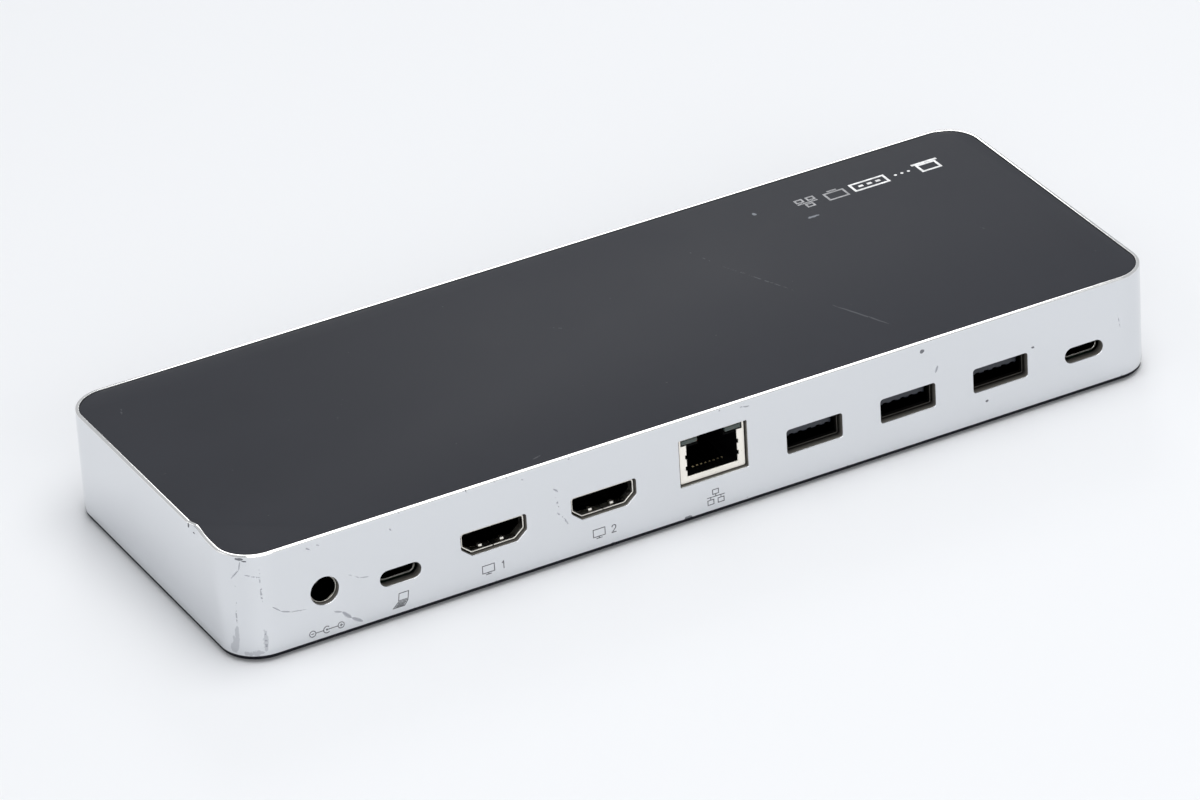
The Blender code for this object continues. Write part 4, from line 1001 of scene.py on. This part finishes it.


# The oval shells' steel is painted near black past a little way in: painted shade.
oval_steel = metal("oval_steel", (0.72, 0.70, 0.65), 0.25, painted_shade_from=FRONT_FACE - SETBACK - 0.25 * MM)[0]
for label in TYPE_C_LABELS:
    low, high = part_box("type_c_shell_" + label)
    middle = ((low.x + high.x) / 2, (low.z + high.z) / 2)
    width, height = high.x - low.x, high.z - low.z
    oval = lambda inset: rounded(width - 2 * inset, height - 2 * inset, height / 2 - inset - 0.001 * MM,
                                 10, middle)
    shell_bm = bmesh.new()
    along_y(shell_bm, oval, sleeve_stations(SETBACK, SETBACK + 7.5 * MM, 0.3 * MM), REAR_FACE, ring=True)
    shell = mesh_object("oval_shell_" + label, shell_bm)
    dress(shell, oval_steel, ["type_c_shell_" + label])

    insert_bm = bmesh.new()
    along_y(insert_bm, lambda inset: oval(0.52 * MM + inset),
            ((0.1 * MM, SETBACK + 5.6 * MM), (0, SETBACK + 5.75 * MM),
                                                               (0, SETBACK + 7.5 * MM)), REAR_FACE)
    insert = mesh_object("thin_tongue_" + label, insert_bm)
    tongue_bm = bmesh.new()
    along_y(tongue_bm,
            lambda inset: rounded(6.6 * MM - 2 * inset, 0.7 * MM - 2 * inset, 0.2 * MM, 3, middle),
            ((0.14 * MM, SETBACK + 0.8 * MM), (0.04 * MM, SETBACK + 0.88 * MM), (0, SETBACK + 1.0 * MM),
             (0, SETBACK + 6.5 * MM)), REAR_FACE)
    carve(insert, tongue_bm, "UNION")
    dress(insert, socket_plastic, ["type_c_tongue_" + label])

    pads_bm = bmesh.new()
    for up in (-1, 1):
        gold_pads(pads_bm, middle[0], 0.5 * MM, 12, (0.26 * MM, 1.9 * MM), SETBACK + 1.1 * MM,
                  middle[1] + up * 0.35 * MM, REAR_FACE, up=up)
    dress(mesh_object("tongue_pads_" + label, pads_bm), contact_gold)

# ------------------------------------------------------------------ video sockets
# Two wide sockets with slanted lower corners. The steel shell is folded from sheet, so a fine seam
# shows under the middle; two sprung tabs are pressed up from its floor.


def box_solid(bm, low, high, edge=0.0):
    """A box between two corners whose upright edges along Z are cut slantwise by a small edge."""
    outline = [(low[0] + edge, low[1]), (high[0] - edge, low[1]), (high[0], low[1] + edge),
               (high[0], high[1] - edge), (high[0] - edge, high[1]), (low[0] + edge, high[1]),
               (low[0], high[1] - edge), (low[0], low[1] + edge)]
    if edge == 0.0:
        outline = [(low[0], low[1]), (high[0], low[1]), (high[0], high[1]), (low[0], high[1])]
    skin(bm, [level(outline, low[2]), level(outline, high[2])])


def sprung_strip(bm, x, half, face, floor, profile, inward=1):
    """A narrow strip with one side view all across, in millimetres from the face and the floor."""
    near = [bm.verts.new((x - half, face + inward * y * MM, floor + z * MM)) for y, z in profile]
    far = [bm.verts.new((x + half, face + inward * y * MM, floor + z * MM)) for y, z in profile]
    bm.faces.new(near)
    bm.faces.new(list(reversed(far)))
    for i in range(len(profile)):
        after = (i + 1) % len(profile)
        bm.faces.new((near[after], near[i], far[i], far[after]))


# The video shells' steel is painted near black past 2.7 mm in: painted shade.
folded_steel = metal("folded_steel", (0.85, 0.82, 0.75), 0.25, painted_shade_from=FRONT_FACE - 2.7 * MM)[0]
for label in VIDEO_LABELS:
    low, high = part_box("video_shell_" + label)
    middle = ((low.x + high.x) / 2, (low.z + high.z) / 2)
    face = low.y
    outline = lambda inset: video_outline(-0.35 * MM - inset, middle, 0.55 * MM)
    shell_bm = bmesh.new()
    along_y(shell_bm, outline, sleeve_stations(0.0, high.y - low.y, 0.3 * MM, 0.08 * MM), face,
            ring=True)
    shell = mesh_object("folded_shell_" + label, shell_bm)
    seam_bm = bmesh.new()
    box_solid(seam_bm, (middle[0] - 0.14 * MM, face - 0.5 * MM, low.z - 0.3 * MM),
              (middle[0] + 0.14 * MM, face + 5.0 * MM, low.z + 0.6 * MM))
    carve(shell, seam_bm)
    tabs_bm = bmesh.new()
    for side in (-1, 1):
        x = middle[0] + side * 2.6 * MM
        floor = low.z + 0.3 * MM
        profile = [(0.9, -0.05), (1.15, 0.34), (1.5, 0.45), (1.9, 0.4), (5.0, -0.05)]
        sprung_strip(tabs_bm, x, 0.4 * MM, face, floor, profile)
    carve(shell, tabs_bm, "UNION")
    dress(shell, folded_steel, ["video_shell_" + label])

    insert_bm = bmesh.new()
    along_y(insert_bm, lambda inset: outline(0.52 * MM + inset),
            ((0.1 * MM, 10.0 * MM), (0, 10.1 * MM), (0, 12.5 * MM)),
            face)
    insert = mesh_object("video_tongue_part_" + label, insert_bm)
    tongue_bm = bmesh.new()
    tongue_z = 13.4 * MM
    along_y(tongue_bm, lambda inset: rounded(10.2 * MM - 2 * inset, 1.3 * MM - 2 * inset, 0.25 * MM, 3,
                                             (middle[0], tongue_z)),
            ((0.2 * MM, 3.1 * MM), (0.05 * MM, 3.18 * MM), (0, 3.35 * MM), (0, 10.5 * MM)), face)
    carve(insert, tongue_bm, "UNION")
    dress(insert, socket_plastic, ["video_tongue_" + label])
    pads_bm = bmesh.new()
    gold_pads(pads_bm, middle[0], 1.0 * MM, 10, (0.45 * MM, 2.6 * MM), 3.4 * MM, tongue_z + 0.65 * MM,
              face)
    gold_pads(pads_bm, middle[0], 1.0 * MM, 9, (0.45 * MM, 2.6 * MM), 3.4 * MM, tongue_z - 0.65 * MM,
              face, up=-1)
    dress(mesh_object("video_pads_" + label, pads_bm), contact_gold)

# ------------------------------------------------------------------ network socket
# A bright tinned steel shield folded round a black insert with eight gilt spring contacts; the insert is
# finished in a near-black copy of the socket plastic, painted shade for the deep inside. A pale light pipe
# fills each upper corner; the latch slot is in the middle of the roof.
low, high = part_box("network_shield")
net_x = (low.x + high.x) / 2
net_face = low.y
SHEET = 0.3 * MM
MOUTH_HALF, MOUTH_LOW, MOUTH_HIGH = 6.15 * MM, 11.25 * MM, 19.0 * MM
WINDOW_HIGH = 20.4 * MM
WINDOW_HALF = (high.x - low.x) / 2 - 0.5 * MM
LATCH_HALF, LATCH_HIGH = 3.1 * MM, 20.45 * MM
tinned_steel = metal("tinned_steel", (0.95, 0.91, 0.83), 0.34, (1.0, 1.0, 0.15), 1000.0, 0.12)[0]
shield_bm = bmesh.new()
shield_middle = (net_x, (low.z + high.z) / 2)
shield_size = (high.x - low.x, high.z - low.z)
along_y(shield_bm,
        lambda inset: rounded(shield_size[0] - 2 * inset, shield_size[1] - 2 * inset, 0.35 * MM, 4,
                                         shield_middle),
        ((0.12 * MM, 0.0), (0.0, 0.12 * MM), (0.0, high.y - low.y)), net_face)
shield = mesh_object("folded_shield", shield_bm)
hollow_bm = bmesh.new()
box_solid(hollow_bm, (low.x + SHEET, low.y + SHEET, low.z + SHEET),
          (high.x - SHEET, high.y + 1.0 * MM, high.z - SHEET))
carve(shield, hollow_bm)


def network_mouth(inset):
    """The shield's mouth: wide below, a window for a light pipe in each upper corner, a latch slot."""
    notch = 0.35 * MM
    half = MOUTH_HALF - inset
    right = [(half, MOUTH_LOW + inset)]
    for height in (12.8 * MM, 15.6 * MM):
        right += [(half, height), (half + notch, height + 0.1 * MM), (half + notch, height + 1.0 * MM),
                  (half, height + 1.1 * MM)]
    right += [(half, MOUTH_HIGH), (WINDOW_HALF - inset, MOUTH_HIGH),
              (WINDOW_HALF - inset, WINDOW_HIGH - inset),
              (LATCH_HALF - inset, WINDOW_HIGH - inset), (LATCH_HALF - inset, LATCH_HIGH - inset)]
    points = right + [(-x, z) for x, z in reversed(right)]
    return [(net_x + x, z) for x, z in points]


mouth_bm = bmesh.new()
along_y(mouth_bm, network_mouth,
        ((-0.08 * MM, -1.0 * MM), (-0.08 * MM, 0.0), (0.0, 0.1 * MM), (0.0, 1.4 * MM)), net_face)
carve(shield, mouth_bm)
dress(shield, tinned_steel, ["network_shield"])

low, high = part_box("network_insert")
insert_bm = bmesh.new()
box_solid(insert_bm, tuple(low), tuple(high), 0.2 * MM)
insert = mesh_object("network_block", insert_bm)
for half, bottom, top, depth in ((MOUTH_HALF, MOUTH_LOW, MOUTH_HIGH - 0.7 * MM, 15.0 * MM),
                                 (LATCH_HALF, MOUTH_HIGH - 2.0 * MM, LATCH_HIGH, 14.5 * MM)):
    cavity_bm = bmesh.new()
    box_solid(cavity_bm, (net_x - half, low.y - 1.0 * MM, bottom), (net_x + half, net_face + depth, top))
    carve(insert, cavity_bm)
for side in (-1, 1):
    channel_bm = bmesh.new()
    pipe_low, pipe_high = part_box("network_light_pipe_" + ("left" if side < 0 else "right"))
    outer = net_x + side * (WINDOW_HALF + 1.0 * MM)
    inner = (pipe_high.x if side < 0 else pipe_low.x) - side * 0.2 * MM
    box_solid(channel_bm, (min(outer, inner), low.y - 1.0 * MM, MOUTH_HIGH - 0.2 * MM),
              (max(outer, inner), net_face + 13.5 * MM, WINDOW_HIGH + 0.2 * MM))
    carve(insert, channel_bm)
groove_bm = bmesh.new()
for number in range(9):
    x = net_x + (number - 4) * 1.02 * MM
    box_solid(groove_bm, (x - 0.12 * MM, net_face + 1.4 * MM, MOUTH_LOW - 0.5 * MM),
              (x + 0.12 * MM, net_face + 11.0 * MM, MOUTH_LOW + 0.1 * MM))
carve(insert, groove_bm)
dress(insert, near_black_painted_shade, ["network_insert"])

comb_bm = bmesh.new()
low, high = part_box("network_contacts")
box_solid(comb_bm, (low.x, net_face + 13.0 * MM, low.z), (high.x, net_face + 14.0 * MM, high.z),
          0.1 * MM)
comb = mesh_object("gilt_contacts", comb_bm)
finger_bm = bmesh.new()
FINGER = (1.02 * MM, 0.45 * MM)
for number in range(8):
    x = net_x + (number - 3.5) * FINGER[0]
    side_view = [(2.5, 0.0), (2.25, 0.15), (2.22, 0.32), (2.4, 0.42), (3.1, 0.4), (13.5, 1.95),
                 (13.5, 1.6), (3.2, 0.0)]
    sprung_strip(finger_bm, x, FINGER[1] / 2, net_face, low.z, side_view)
bmesh.ops.recalc_face_normals(finger_bm, faces=finger_bm.faces)
carve(comb, finger_bm, "UNION")
# The contacts' gold is painted near black past their tips: painted shade.
sprung_gold = metal("sprung_gold", (0.95, 0.80, 0.50), 0.25, painted_shade_from=FRONT_FACE - 3.25 * MM)[0]
dress(comb, sprung_gold, ["network_contacts"])

pipe_clear, tree, shader = moulded("light_pipe_clear", (0.055, 0.068, 0.06), 0.22, 0.3, 0.4)
shader.inputs["Subsurface Weight"].default_value = 0.25
shader.inputs["Subsurface Scale"].default_value = 1.0 * MM
for label in ("left", "right"):
    low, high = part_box("network_light_pipe_" + label)
    middle = ((low.x + high.x) / 2, (low.z + high.z) / 2)
    size = (high.x - low.x, high.z - low.z)
    pipe_bm = bmesh.new()
    along_y(pipe_bm,
            lambda inset: rounded(size[0] - 2 * inset, size[1] - 2 * inset, 0.2 * MM, 4, middle),
            ((0.12 * MM, 0.0), (0.03 * MM, 0.04 * MM), (0.0, 0.15 * MM), (0.0, high.y - low.y)), low.y)
    dress(mesh_object("corner_pipe_" + label, pipe_bm), pipe_clear,
          ["network_light_pipe_" + label])

# ------------------------------------------------------------------ type A sockets
# Rectangular data sockets, three in a row on this side and one on the far side: a dark nickelled shell
# with sprung tabs, and a black tongue under its roof with four gold contacts below. The tongue's black is
# lifted and tinted blue, partly its own dark tone and partly a painted sheen.
# Black tongue plastic lifted and tinted blue: partly its own dark tone, partly a painted sheen on the
# tongue's front.
tongue_plastic_with_painted_sheen = moulded("tongue_plastic_with_painted_sheen", (0.013, 0.016, 0.024), 0.3, 0.1, 0.2)[0]
# The type A shells' dark nickel is painted near black past 2.6 mm in: painted shade.
dark_nickel = metal("dark_nickel", (0.085, 0.08, 0.072), 0.34, (1.0, 0.2, 1.0), 1200.0,
                    painted_shade_from=FRONT_FACE - 2.6 * MM)[0]
for label in TYPE_A_LABELS + ("front",):
    low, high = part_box("type_a_shell_" + label)
    inward = -1 if label == "front" else 1
    face = high.y if label == "front" else low.y
    middle = ((low.x + high.x) / 2, (low.z + high.z) / 2)
    size = (high.x - low.x, high.z - low.z)
    depth = high.y - low.y
    shell_bm = bmesh.new()
    along_y(shell_bm,
            lambda inset: rounded(size[0] - 2 * inset, size[1] - 2 * inset, 0.5 * MM - inset, 6, middle),
            sleeve_stations(0.0, depth, 0.3 * MM, 0.08 * MM), face, inward, ring=True)
    shell = mesh_object("nickel_shell_" + label, shell_bm)
    tabs_bm = bmesh.new()
    for side in (-1, 1):
        x = middle[0] + side * 3.2 * MM
        floor = low.z + 0.3 * MM
        profile = [(3.0, -0.05), (3.6, 0.28), (4.6, 0.34), (5.4, 0.28), (8.5, -0.05)]
        sprung_strip(tabs_bm, x, 0.9 * MM, face, floor, profile, inward)
    bmesh.ops.recalc_face_normals(tabs_bm, faces=tabs_bm.faces)
    carve(shell, tabs_bm, "UNION")
    dress(shell, dark_nickel, ["type_a_shell_" + label])

    insert_bm = bmesh.new()
    along_y(insert_bm,
            lambda inset: rounded(size[0] - 1.0 * MM - 2 * inset, size[1] - 1.0 * MM - 2 * inset,
                                  0.2 * MM,
                                             4, middle),
            ((0.1 * MM, 10.8 * MM), (0.0, 10.9 * MM), (0.0, depth)), face, inward)
    insert = mesh_object("data_tongue_" + label, insert_bm)
    tongue_z = high.z - 1.9 * MM
    tongue_bm = bmesh.new()
    along_y(tongue_bm, lambda inset: rounded(11.1 * MM - 2 * inset, 1.8 * MM - 2 * inset, 0.3 * MM, 3,
                                             (middle[0], tongue_z)),
            ((0.35 * MM, 1.0 * MM), (0.1 * MM, 1.1 * MM), (0.0, 1.4 * MM), (0.0, 11.2 * MM)), face,
            inward)
    carve(insert, tongue_bm, "UNION")
    notch_bm = bmesh.new()
    for number in range(5):
        x = middle[0] + (number - 2) * 2.2 * MM
        along_y(notch_bm, lambda inset,
                at=x: rounded(1.1 * MM - 2 * inset, 0.9 * MM - 2 * inset, 0.2 * MM, 3,
                                                      (at, tongue_z - 0.9 * MM)),
                ((-0.1 * MM, 0.7 * MM), (0.0, 1.2 * MM), (0.0, 2.0 * MM)), face, inward)
    carve(insert, notch_bm)
    dress(insert, tongue_plastic_with_painted_sheen, ["type_a_tongue_" + label])
    pads_bm = bmesh.new()
    gold_pads(pads_bm, middle[0], 2.2 * MM, 4, (1.0 * MM, 2.6 * MM), 2.2 * MM, tongue_z - 0.9 * MM, face,
              inward, -1)
    dress(mesh_object("data_pads_" + label, pads_bm), contact_gold)

# ------------------------------------------------------------------ printed signs
# Fine signs in hard-wearing grey ink under the sockets: the plug's polarity, a laptop, two screens
# with their numbers, a network tree. On the top a row of plain white and grey signs.
INK = 0.015 * MM


def on_wall(middle):
    """Turns flat points, in millimetres about a middle, into points of a layer on the socket wall."""
    def place(points, layer):
        depth = REAR_FACE + 0.03 * MM + (0.03 * MM if layer == 0 else -INK)
        return [((middle[0] + x) * MM, depth, (middle[1] + z) * MM) for x, z in points]
    return place


def on_top(middle):
    """The same for the top panel, where the signs are read from the far side."""
    def place(points, layer):
        height = panel_top + (-0.03 * MM if layer == 0 else 0.01 * MM)
        return [((middle[0] - x) * MM, (middle[1] - y) * MM, height) for x, y in points]
    return place


def offset_line(points, distance, closed):
    """The points moved sideways, with a mitre at each turn."""
    moved = []
    count = len(points)
    for number, point in enumerate(points):
        here = Vector(point)
        before = Vector(points[number - 1]) if number > 0 or closed else None
        after = Vector(points[(number + 1) % count]) if number < count - 1 or closed else None
        ways = [way.normalized() for way in (here - before if before else None,
                                             after - here if after else None)
                if way is not None]
        sides = [Vector((-way.y, way.x)) for way in ways]
        side = (sides[0] + sides[-1]).normalized()
        stretch = 1.0 / max(0.4, side.dot(sides[0]))
        moved.append(tuple(here + side * distance * stretch))
    return moved


def stroke(bm, points, width, place, closed=False):
    """One printed line of even width."""
    left = offset_line(points, width / 2, closed)
    right = offset_line(points, -width / 2, closed)
    if closed:
        skin(bm, [place(left, 0), place(left, 1), place(right, 1), place(right, 0)], ring=True)
    else:
        outline = left + list(reversed(right))
        skin(bm, [place(outline, 0), place(outline, 1)])


def ring_points(x, y, radius, start=0.0, end=360.0, steps=24):
    whole = end - start >= 360.0
    count = steps if whole else steps + 1
    return [(x + radius * math.cos(math.radians(start + (end - start) * i / steps)),
             y + radius * math.sin(math.radians(start + (end - start) * i / steps))) for i in range(count)]


def frame_points(x, y, width, height, lean=0.0):
    """A rectangle about a middle, leaning sideways towards its top."""
    return [(x - width / 2 - lean / 2, y - height / 2), (x + width / 2 - lean / 2, y - height / 2),
            (x + width / 2 + lean / 2, y + height / 2), (x - width / 2 + lean / 2, y + height / 2)]


def draw_laptop(bm, place, size, line, shift=0.0):
    """A laptop seen from the front left: its screen, and its keyboard leaning towards the reader."""
    def scaled(points):
        return [(shift + x * size, y * size) for x, y in points]
    stroke(bm, scaled([(-0.6, -0.1), (1.65, -0.1), (1.9, 1.65), (-0.35, 1.65)]), line, place, True)
    stroke(bm, scaled([(-1.95, -1.6), (0.75, -1.6), (1.6, -0.4), (-0.7, -0.4)]), line, place, True)
    for share in (0.22, 0.48, 0.74):
        left, right = -1.95 + 1.25 * share + 0.25, 0.75 + 0.85 * share - 0.25
        height = -1.6 + 1.2 * share
        stroke(bm, scaled([(left, height), (right, height)]), line * 1.3, place)


def draw_screen(bm, place, size, line, shift=0.0):
    """A screen on its stand."""
    stroke(bm, [(shift + x * size, y * size) for x, y in frame_points(0, 0.25, 3.0, 1.9)], line, place,
           True)
    stroke(bm, [(shift, -0.72 * size), (shift, -1.15 * size)], line, place)
    stroke(bm, [(shift - 0.75 * size, -1.15 * size), (shift + 0.75 * size, -1.15 * size)], line, place)


def draw_tree(bm, place, size, line, shift=0.0):
    """A network: one box above, joined to two below."""
    def scaled(points):
        return [(shift + x * size, y * size) for x, y in points]
    for x, y in ((0.0, 1.15), (-1.25, -1.2), (1.25, -1.2)):
        stroke(bm, scaled(frame_points(x, y, 1.45, 1.1)), line, place, True)
    stroke(bm, scaled([(0, 0.6), (0, 0.0)]), line, place)
    stroke(bm, scaled([(-2.2, 0.0), (2.2, 0.0)]), line, place)
    for x in (-1.25, 1.25):
        stroke(bm, scaled([(x, 0.0), (x, -0.65)]), line, place)


DIGITS = {"1": [(-0.38, 0.5), (0.05, 0.9), (0.05, -0.9)],
          "2": [(-0.5, 0.45), (-0.42, 0.75), (-0.15, 0.9), (0.15, 0.9), (0.42, 0.72), (0.47, 0.4),
                (0.3, 0.05),
                (-0.5, -0.86), (0.55, -0.86)]}
LINE = 0.2
signs_bm = bmesh.new()
polarity = on_wall((-92.4, 3.4))
stroke(signs_bm, ring_points(-3.35, 0, 0.72), LINE, polarity, True)
stroke(signs_bm, [(-3.7, 0), (-3.0, 0)], LINE, polarity)
stroke(signs_bm, [(-2.6, 0), (-0.85, 0)], LINE, polarity)
stroke(signs_bm, ring_points(0, 0, 0.78, 45, 315), LINE, polarity)
stroke(signs_bm, ring_points(0, 0, 0.14, steps=10), 0.2, polarity, True)
stroke(signs_bm, [(0.3, 0), (2.6, 0)], LINE, polarity)
stroke(signs_bm, ring_points(3.35, 0, 0.72), LINE, polarity, True)
stroke(signs_bm, [(3.0, 0), (3.7, 0)], LINE, polarity)
stroke(signs_bm, [(3.35, 0.35), (3.35, 0.09)], LINE, polarity)
stroke(signs_bm, [(3.35, -0.35), (3.35, -0.09)], LINE, polarity)
draw_laptop(signs_bm, on_wall((-74.8, 4.7)), 1.0, LINE)
for label, x in (("1", -52.3), ("2", -25.6)):
    place = on_wall((x, 5.1))
    draw_screen(signs_bm, place, 0.95, LINE, -1.6)
    stroke(signs_bm, [(2.0 + across, up) for across, up in DIGITS[label]], LINE * 1.1, place)
draw_tree(signs_bm, on_wall((1.3, 4.9)), 1.0, LINE)
signs = mesh_object("wall_signs", signs_bm)


def ink(name, colour, rough=0.5):
    """Screen-printed ink: a little uneven, thin in places."""
    made, tree, shader = surface(name, colour, rough)
    grain = place_group(tree, fine_grain, {"Scale": 5200.0, "Cloud Scale": 700.0})
    tone = blend_colour(tree, shape_range(tree, grain.outputs["Tone"], 0.35, 0.72), colour,
                        tuple(value * 1.5 + 0.02 for value in colour))
    tree.links.new(tone, shader.inputs["Base Color"])
    tree.links.new(calc(tree, "ADD", calc(tree, "MULTIPLY", grain.outputs["Height"], 0.15),
                        rough - 0.08),
                   shader.inputs["Roughness"])
    bump(tree, shader, grain.outputs["Height"], 0.2, 0.01 * MM)
    return made


dress(signs, ink("grey_ink", (0.085, 0.088, 0.095)))

white_bm = bmesh.new()
mark = on_top((80.7, 27.8))
stroke(white_bm, frame_points(-15.6, 0.5, 4.6, 3.0), 0.6, mark, True)
stroke(white_bm, [(-18.9, -1.75), (-12.3, -1.75)], 0.75, mark)
for dot in range(3):
    stroke(white_bm, ring_points(-10.6 + dot * 1.7, 0.0, 0.2, steps=12), 0.34, mark, True)
stroke(white_bm, frame_points(-0.4, 0.0, 8.6, 3.1), 0.6, mark, True)
for slot_number in range(3):
    stroke(white_bm, [(-3.2 + slot_number * 2.2, 0.0), (-2.0 + slot_number * 2.2, 0.0)], 0.8, mark)
dress(mesh_object("top_sign_white", white_bm), ink("white_ink", (0.72, 0.72, 0.72)))
grey_bm = bmesh.new()
draw_screen(grey_bm, mark, 1.6, 0.5, 8.4)
draw_tree(grey_bm, mark, 1.15, 0.45, 15.6)
dress(mesh_object("top_sign_grey", grey_bm), ink("mid_grey_ink", (0.30, 0.30, 0.31)))

# ------------------------------------------------------------------ power button and status light
# On the far side: a round plated cap on a flanged stem, pushed in against a small switch, and a
# clear rod that shows the status light. The cap carries the plain sign for power.
low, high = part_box("power_button")
at = (button_middle.x, button_middle.z)
cap_bm = bmesh.new()
cap_stations = [(3.1, 0.2), (3.35, 0.12), (3.5, 0.17), (3.6, 0.36), (3.6, 2.2), (4.5, 2.2), (4.5, 2.3),
                (4.5, 3.2),
                (1.3, 3.2), (1.3, 4.75), (1.25, 4.8)]
skin(cap_bm,
     [upright(circle(size * MM, 48, at), FRONT_FACE - reach * MM) for size, reach in cap_stations])
cap = mesh_object("button_cap", cap_bm)
dress(cap, silver, ["power_button"], "button")

power_bm = bmesh.new()


def on_cap(points, layer):
    """The sign lies in the cap's shallow dish and is read from the far side."""
    depth = FRONT_FACE - (0.24 * MM if layer == 0 else 0.17 * MM)
    return [(at[0] - x * MM, depth, at[1] + z * MM) for x, z in points]


stroke(power_bm, ring_points(0, 0, 1.3, 125, 415, 36), 0.28, on_cap)
stroke(power_bm, [(0, 0.5), (0, 1.6)], 0.28, on_cap)
dress(mesh_object("power_sign", power_bm), ink("dark_ink", (0.05, 0.05, 0.055)),
      body="button")

low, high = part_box("switch_plunger")
plunger_bm = bmesh.new()
along_y(plunger_bm, lambda inset: circle(0.9 * MM - inset, 24, at),
        ((0.1 * MM, 0.0), (0.0, 0.1 * MM), (0.0, high.y - low.y - 0.1 * MM), (0.1 * MM, high.y - low.y)),
        high.y, -1)
dress(mesh_object("switch_stem", plunger_bm), socket_plastic, ["switch_plunger"],
      "button")

status_clear, tree, shader = moulded("status_clear", (0.5, 0.55, 0.5), 0.15, 0.1, 0.2)
shader.inputs["Transmission Weight"].default_value = 0.6
for slot_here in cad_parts["status_light_pipe"].material_slots:
    slot_here.material = status_clear

# ------------------------------------------------------------------ headset socket
# A black moulded socket on the far side; its round collar reaches into the wall. Beside it is
# printed a small sign of a headset.
low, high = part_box("headset_socket")
hole = (headset_middle.x, HEADSET_Z)
jack_bm = bmesh.new()
block_size = (high.x - low.x, high.z - low.z)
along_y(jack_bm, lambda inset: rounded(block_size[0] - 2 * inset, block_size[1] - 2 * inset, 0.3 * MM, 4,
                                       (hole[0], (low.z + high.z) / 2)),
        ((0.1 * MM, SETBACK), (0.0, SETBACK + 0.1 * MM), (0.0, SETBACK + 12.0 * MM)), FRONT_FACE, -1)
jack = mesh_object("headset_block", jack_bm)
collar_bm = bmesh.new()
along_y(collar_bm, lambda inset: circle(2.8 * MM - inset, 48, hole),
        ((0.25 * MM, 0.9 * MM), (0.07 * MM, 0.96 * MM), (0.0, 1.15 * MM), (0.0, SETBACK + 1.0 * MM)),
        FRONT_FACE, -1)
carve(jack, collar_bm, "UNION")
bore_bm = bmesh.new()
along_y(bore_bm, lambda inset: circle(1.8 * MM - inset, 32, hole),
        ((-0.4 * MM, 0.6 * MM), (-0.12 * MM, 0.95 * MM), (0.0, 1.2 * MM), (0.0, SETBACK + 10.5 * MM)),
        FRONT_FACE, -1)
carve(jack, bore_bm)
dress(jack, socket_plastic, ["headset_socket"])

headset_bm = bmesh.new()


def on_far_wall(middle):
    def place(points, layer):
        depth = FRONT_FACE - 0.03 * MM + (-0.03 * MM if layer == 0 else INK)
        return [((middle[0] - x) * MM, depth, (middle[1] + z) * MM) for x, z in points]
    return place


place = on_far_wall((headset_middle.x / MM, 5.2))
stroke(headset_bm, ring_points(0, -0.2, 1.5, 0, 180), LINE, place)
for side in (-1, 1):
    stroke(headset_bm, frame_points(side * 1.5, -0.8, 0.6, 1.2), LINE * 1.4, place, True)
stroke(headset_bm, [(1.5, -1.4), (1.1, -1.75), (0.3, -1.8)], LINE, place)
dress(mesh_object("headset_sign", headset_bm), bpy.data.materials["grey_ink"])

# ------------------------------------------------------------------ board and its parts
# The circuit board under black-green solder mask, with its chips, coils, capacitors and a ribbed
# heat sink on a soft pad. They are hidden inside the case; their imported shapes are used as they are.
mask, tree, shader = surface("solder_mask", (0.008, 0.02, 0.014), 0.35)
place = own_place(tree)
rows = node(tree, "ShaderNodeTexWave",
            {"Vector": place, "Scale": 260.0, "Distortion": 3.0, "Detail": 1.0,
                                        "Detail Scale": 2.0}, bands_direction="DIAGONAL").outputs["Fac"]
areas = shape_range(tree, noise(tree, place, 70.0, 1.0), 0.48, 0.52)
tracks = calc(tree, "MULTIPLY", shape_range(tree, rows, 0.62, 0.7), areas)
cells = node(tree, "ShaderNodeTexVoronoi", {"Vector": place, "Scale": 420.0},
             feature="F1").outputs["Distance"]
pads = calc(tree, "MULTIPLY", shape_range(tree, cells, 0.16, 0.13), calc(tree, "SUBTRACT", 1.0, areas))
tone = blend_colour(tree, tracks, (0.008, 0.02, 0.014), (0.016, 0.042, 0.028))
tone = blend_colour(tree, pads, tone, (0.45, 0.42, 0.36))
tree.links.new(tone, shader.inputs["Base Color"])
tree.links.new(pads, shader.inputs["Metallic"])
tree.links.new(calc(tree, "ADD", calc(tree, "MULTIPLY", noise(tree, place, 300.0), 0.2), 0.25),
               shader.inputs["Roughness"])
bump(tree, shader, calc(tree, "ADD", tracks, pads), 0.4, 0.03 * MM)

chip_resin = moulded("chip_resin", (0.018, 0.018, 0.02), 0.5, 0.1, 0.3, 3000.0, 0.5)[0]
aluminium = metal("plain_aluminium", (0.75, 0.75, 0.76), 0.36, (1.0, 0.1, 1.0), 1500.0)[0]
ferrite = moulded("inductor_ferrite", (0.11, 0.11, 0.12), 0.6, 0.3, 0.6, 1300.0, 0.7)[0]
silicone = moulded("pad_silicone", (0.34, 0.35, 0.40), 0.85, 0.2, 0.3, 700.0, 0.5)[0]
inner_finish = {
    "main_board": mask, "video_hub_chip": chip_resin, "data_hub_chip": chip_resin,
    "network_chip": chip_resin,
    "power_chip": chip_resin, "network_transformer": chip_resin, "clock_crystal": socket_steel,
    "power_switch": socket_steel, "heat_sink": aluminium, "thermal_pad": silicone}
for number in (1, 2, 3):
    inner_finish["capacitor_" + str(number)] = aluminium
    inner_finish["power_inductor_" + str(number)] = ferrite
for name, finish in inner_finish.items():
    for slot_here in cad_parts[name].material_slots:
        slot_here.material = finish
